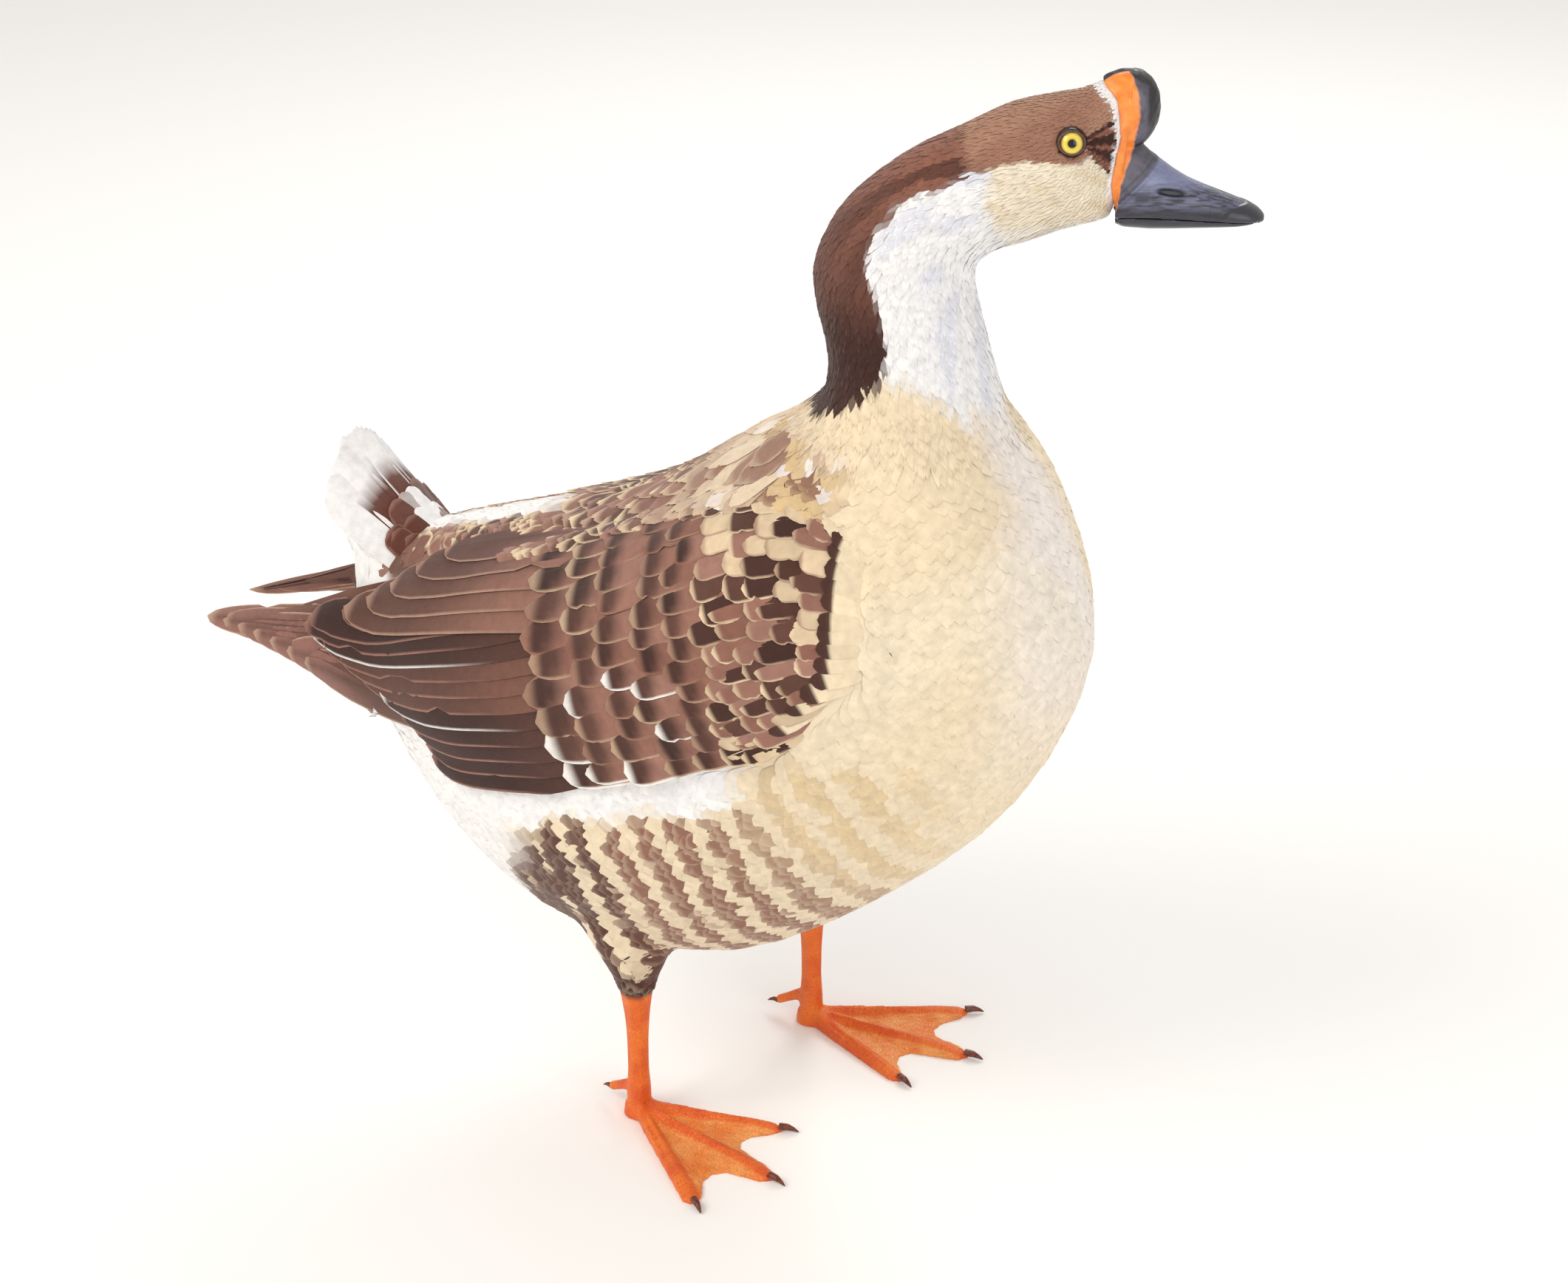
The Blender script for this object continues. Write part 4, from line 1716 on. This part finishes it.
def leg_material():
    """Scaly orange leg skin: satin, deeper on the toes, lighter and thinner in the webs."""
    material, tree = new_material("orange_leg_scales", "#ee7420")
    place = put(tree, "ShaderNodeTexCoord").outputs["Object"]
    marks = {
        name: put(tree, "ShaderNodeAttribute", attribute_name=name).outputs["Fac"]
        for name in ("web", "crease", "cuff")
    }
    net = {"Vector": place, "Scale": 520.0}  # scales about 2 mm wide
    scales = put(tree, "ShaderNodeTexVoronoi", net, feature="DISTANCE_TO_EDGE")
    patches = {"Vector": place, "Scale": 60.0, "Detail": 4.0}  # about 17 mm across
    cloud = put(tree, "ShaderNodeTexNoise", patches)
    colour = layered(
        tree,
        layered(tree, "#e2590f", [("#f2791d", cloud, 0.3, 0.7, 1.0)]),
        [
            (layered(tree, "#ee8433", [("#f6a558", cloud, 0.3, 0.7, 1.0)]), marks["web"]),
            ("#b8440f", scales, 0.10, 0.0, 0.45),
            ("#a33c12", marks["crease"]),
            ("#4a1c0e", marks["cuff"]),
        ],
    )
    relief = put(
        tree, "ShaderNodeMapRange", {"Value": scales, "From Max": 0.16}, interpolation_type="SMOOTHSTEP"
    )
    surface = {
        "Base Color": colour,
        "Roughness": 0.46,
        "Subsurface Weight": 0.06,
        "Subsurface Radius": (0.004, 0.0015, 0.0008),
        "Normal": put(tree, "ShaderNodeBump", {"Strength": 0.5, "Distance": 0.0005, "Height": relief}),
    }
    shader = put(tree, "ShaderNodeBsdfPrincipled", surface)
    put(tree, "ShaderNodeOutputMaterial", {"Surface": shader})
    return material


def claw_material():
    """Dark horn claws, paler towards the point."""
    material, tree = new_material("dark_claw_horn", "#5b2514")
    place = put(tree, "ShaderNodeTexCoord").outputs["Object"]
    grain = {"Vector": place, "Scale": 420.0, "Detail": 3.0}  # about 2.4 mm across
    streak = put(tree, "ShaderNodeTexNoise", grain)
    rings = put(tree, "ShaderNodeValToRGB", {"Fac": streak})
    set_stops(rings, ((0.3, "#3a160c"), (0.75, "#8a3d1c")))
    surface = {"Base Color": rings, "Roughness": 0.34, "Coat Weight": 0.1}
    shader = put(tree, "ShaderNodeBsdfPrincipled", surface)
    put(tree, "ShaderNodeOutputMaterial", {"Surface": shader})
    return material


LEG_FINISH, CLAW_FINISH = leg_material(), claw_material()
for hand in ("right", "left"):
    leg = remade(nodes_as_one(f"leg_and_foot_{hand}", [f"{part}_{hand}" for part in LEG_PARTS]), LEG_GRAIN, 5)
    ankle = middle_of(f"shank_{hand}")
    places = points_of(leg.data)
    from_ankle = np.hypot(*(places[:, :2] - ankle[:2]).T)
    eased(leg, (1 - ramp(places[:, 2], 0.028, 0.042)) * (1 - ramp(from_ankle, 0.017, 0.026)), 20)
    places = points_of(leg.data)  # the shank is narrower than deep, and slimmest in its middle
    waist = ramp(places[:, 2], 0.020, 0.045) * (1 - ramp(places[:, 2], 0.066, 0.100))
    places[:, :2] = ankle[:2] + (places[:, :2] - ankle[:2]) * (1 - np.outer(waist, (0.07, 0.18)))
    move_points(leg.data, places)
    normals = normals_of(leg.data)
    middle_claw = middle_of(f"claw_{hand}_middle")
    heading_foot = math.atan2(middle_claw[1] - ankle[1], middle_claw[0] - ankle[0])
    out = places[:, :2] - ankle[:2]
    reach = np.hypot(*out.T)
    bearing = np.degrees(np.arctan2(out[:, 1], out[:, 0]) - heading_foot)
    bearing = (bearing + 180) % 360 - 180
    to_toe = np.min([np.abs(bearing - toe) for toe in (-TOE_SPREAD, 0, TOE_SPREAD)], axis=0)
    low = (places[:, 2] < 0.016) & (np.abs(bearing) < 40)
    web = ramp(np.radians(to_toe) * reach, 0.0035, 0.0060) * low * ramp(reach, 0.018, 0.030)
    web *= np.abs(bearing) < TOE_SPREAD
    folds = np.sin(bearing * 1.35) * np.sin(reach * 330 + np.sin(bearing * 0.7) * 2.0)
    places += normals * (0.0005 * web * folds * (normals[:, 2] > 0.2))[:, None]
    scutes = np.abs(np.sin(reach * SCUTE_WAVE)) ** 0.5
    on_toe = (1 - web) * low * ramp(normals[:, 2], 0.3, 0.7) * ramp(reach, 0.022, 0.03)
    places += normals * (-0.00035 * on_toe * (1 - scutes))[:, None]
    move_points(leg.data, places)
    crease = 0.55 * on_toe * ramp(1 - scutes, 0.45, 0.95) + 0.25 * web * ramp(folds, 0.55, 1.0)
    cuff = 0.85 * ramp(places[:, 2] + 0.0015 * wander(places, 0.003, 31), 0.0955, 0.1000)
    for name, values in (("web", web), ("crease", np.clip(crease, 0, 1)), ("cuff", cuff)):
        store(leg.data, name, values, "FLOAT", "value")
    leg.data.materials.append(LEG_FINISH)
    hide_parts(*[f"{part}_{hand}" for part in LEG_PARTS])
    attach(leg, "root")
    names = [f"claw_{hand}_{toe}" for toe in ("inner", "middle", "outer", "hind")]
    claws = remade(nodes_as_one(f"claws_{hand}", names), 0.0005, 9)
    claws.data.materials.append(CLAW_FINISH)
    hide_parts(*names)
    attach(claws, "root")
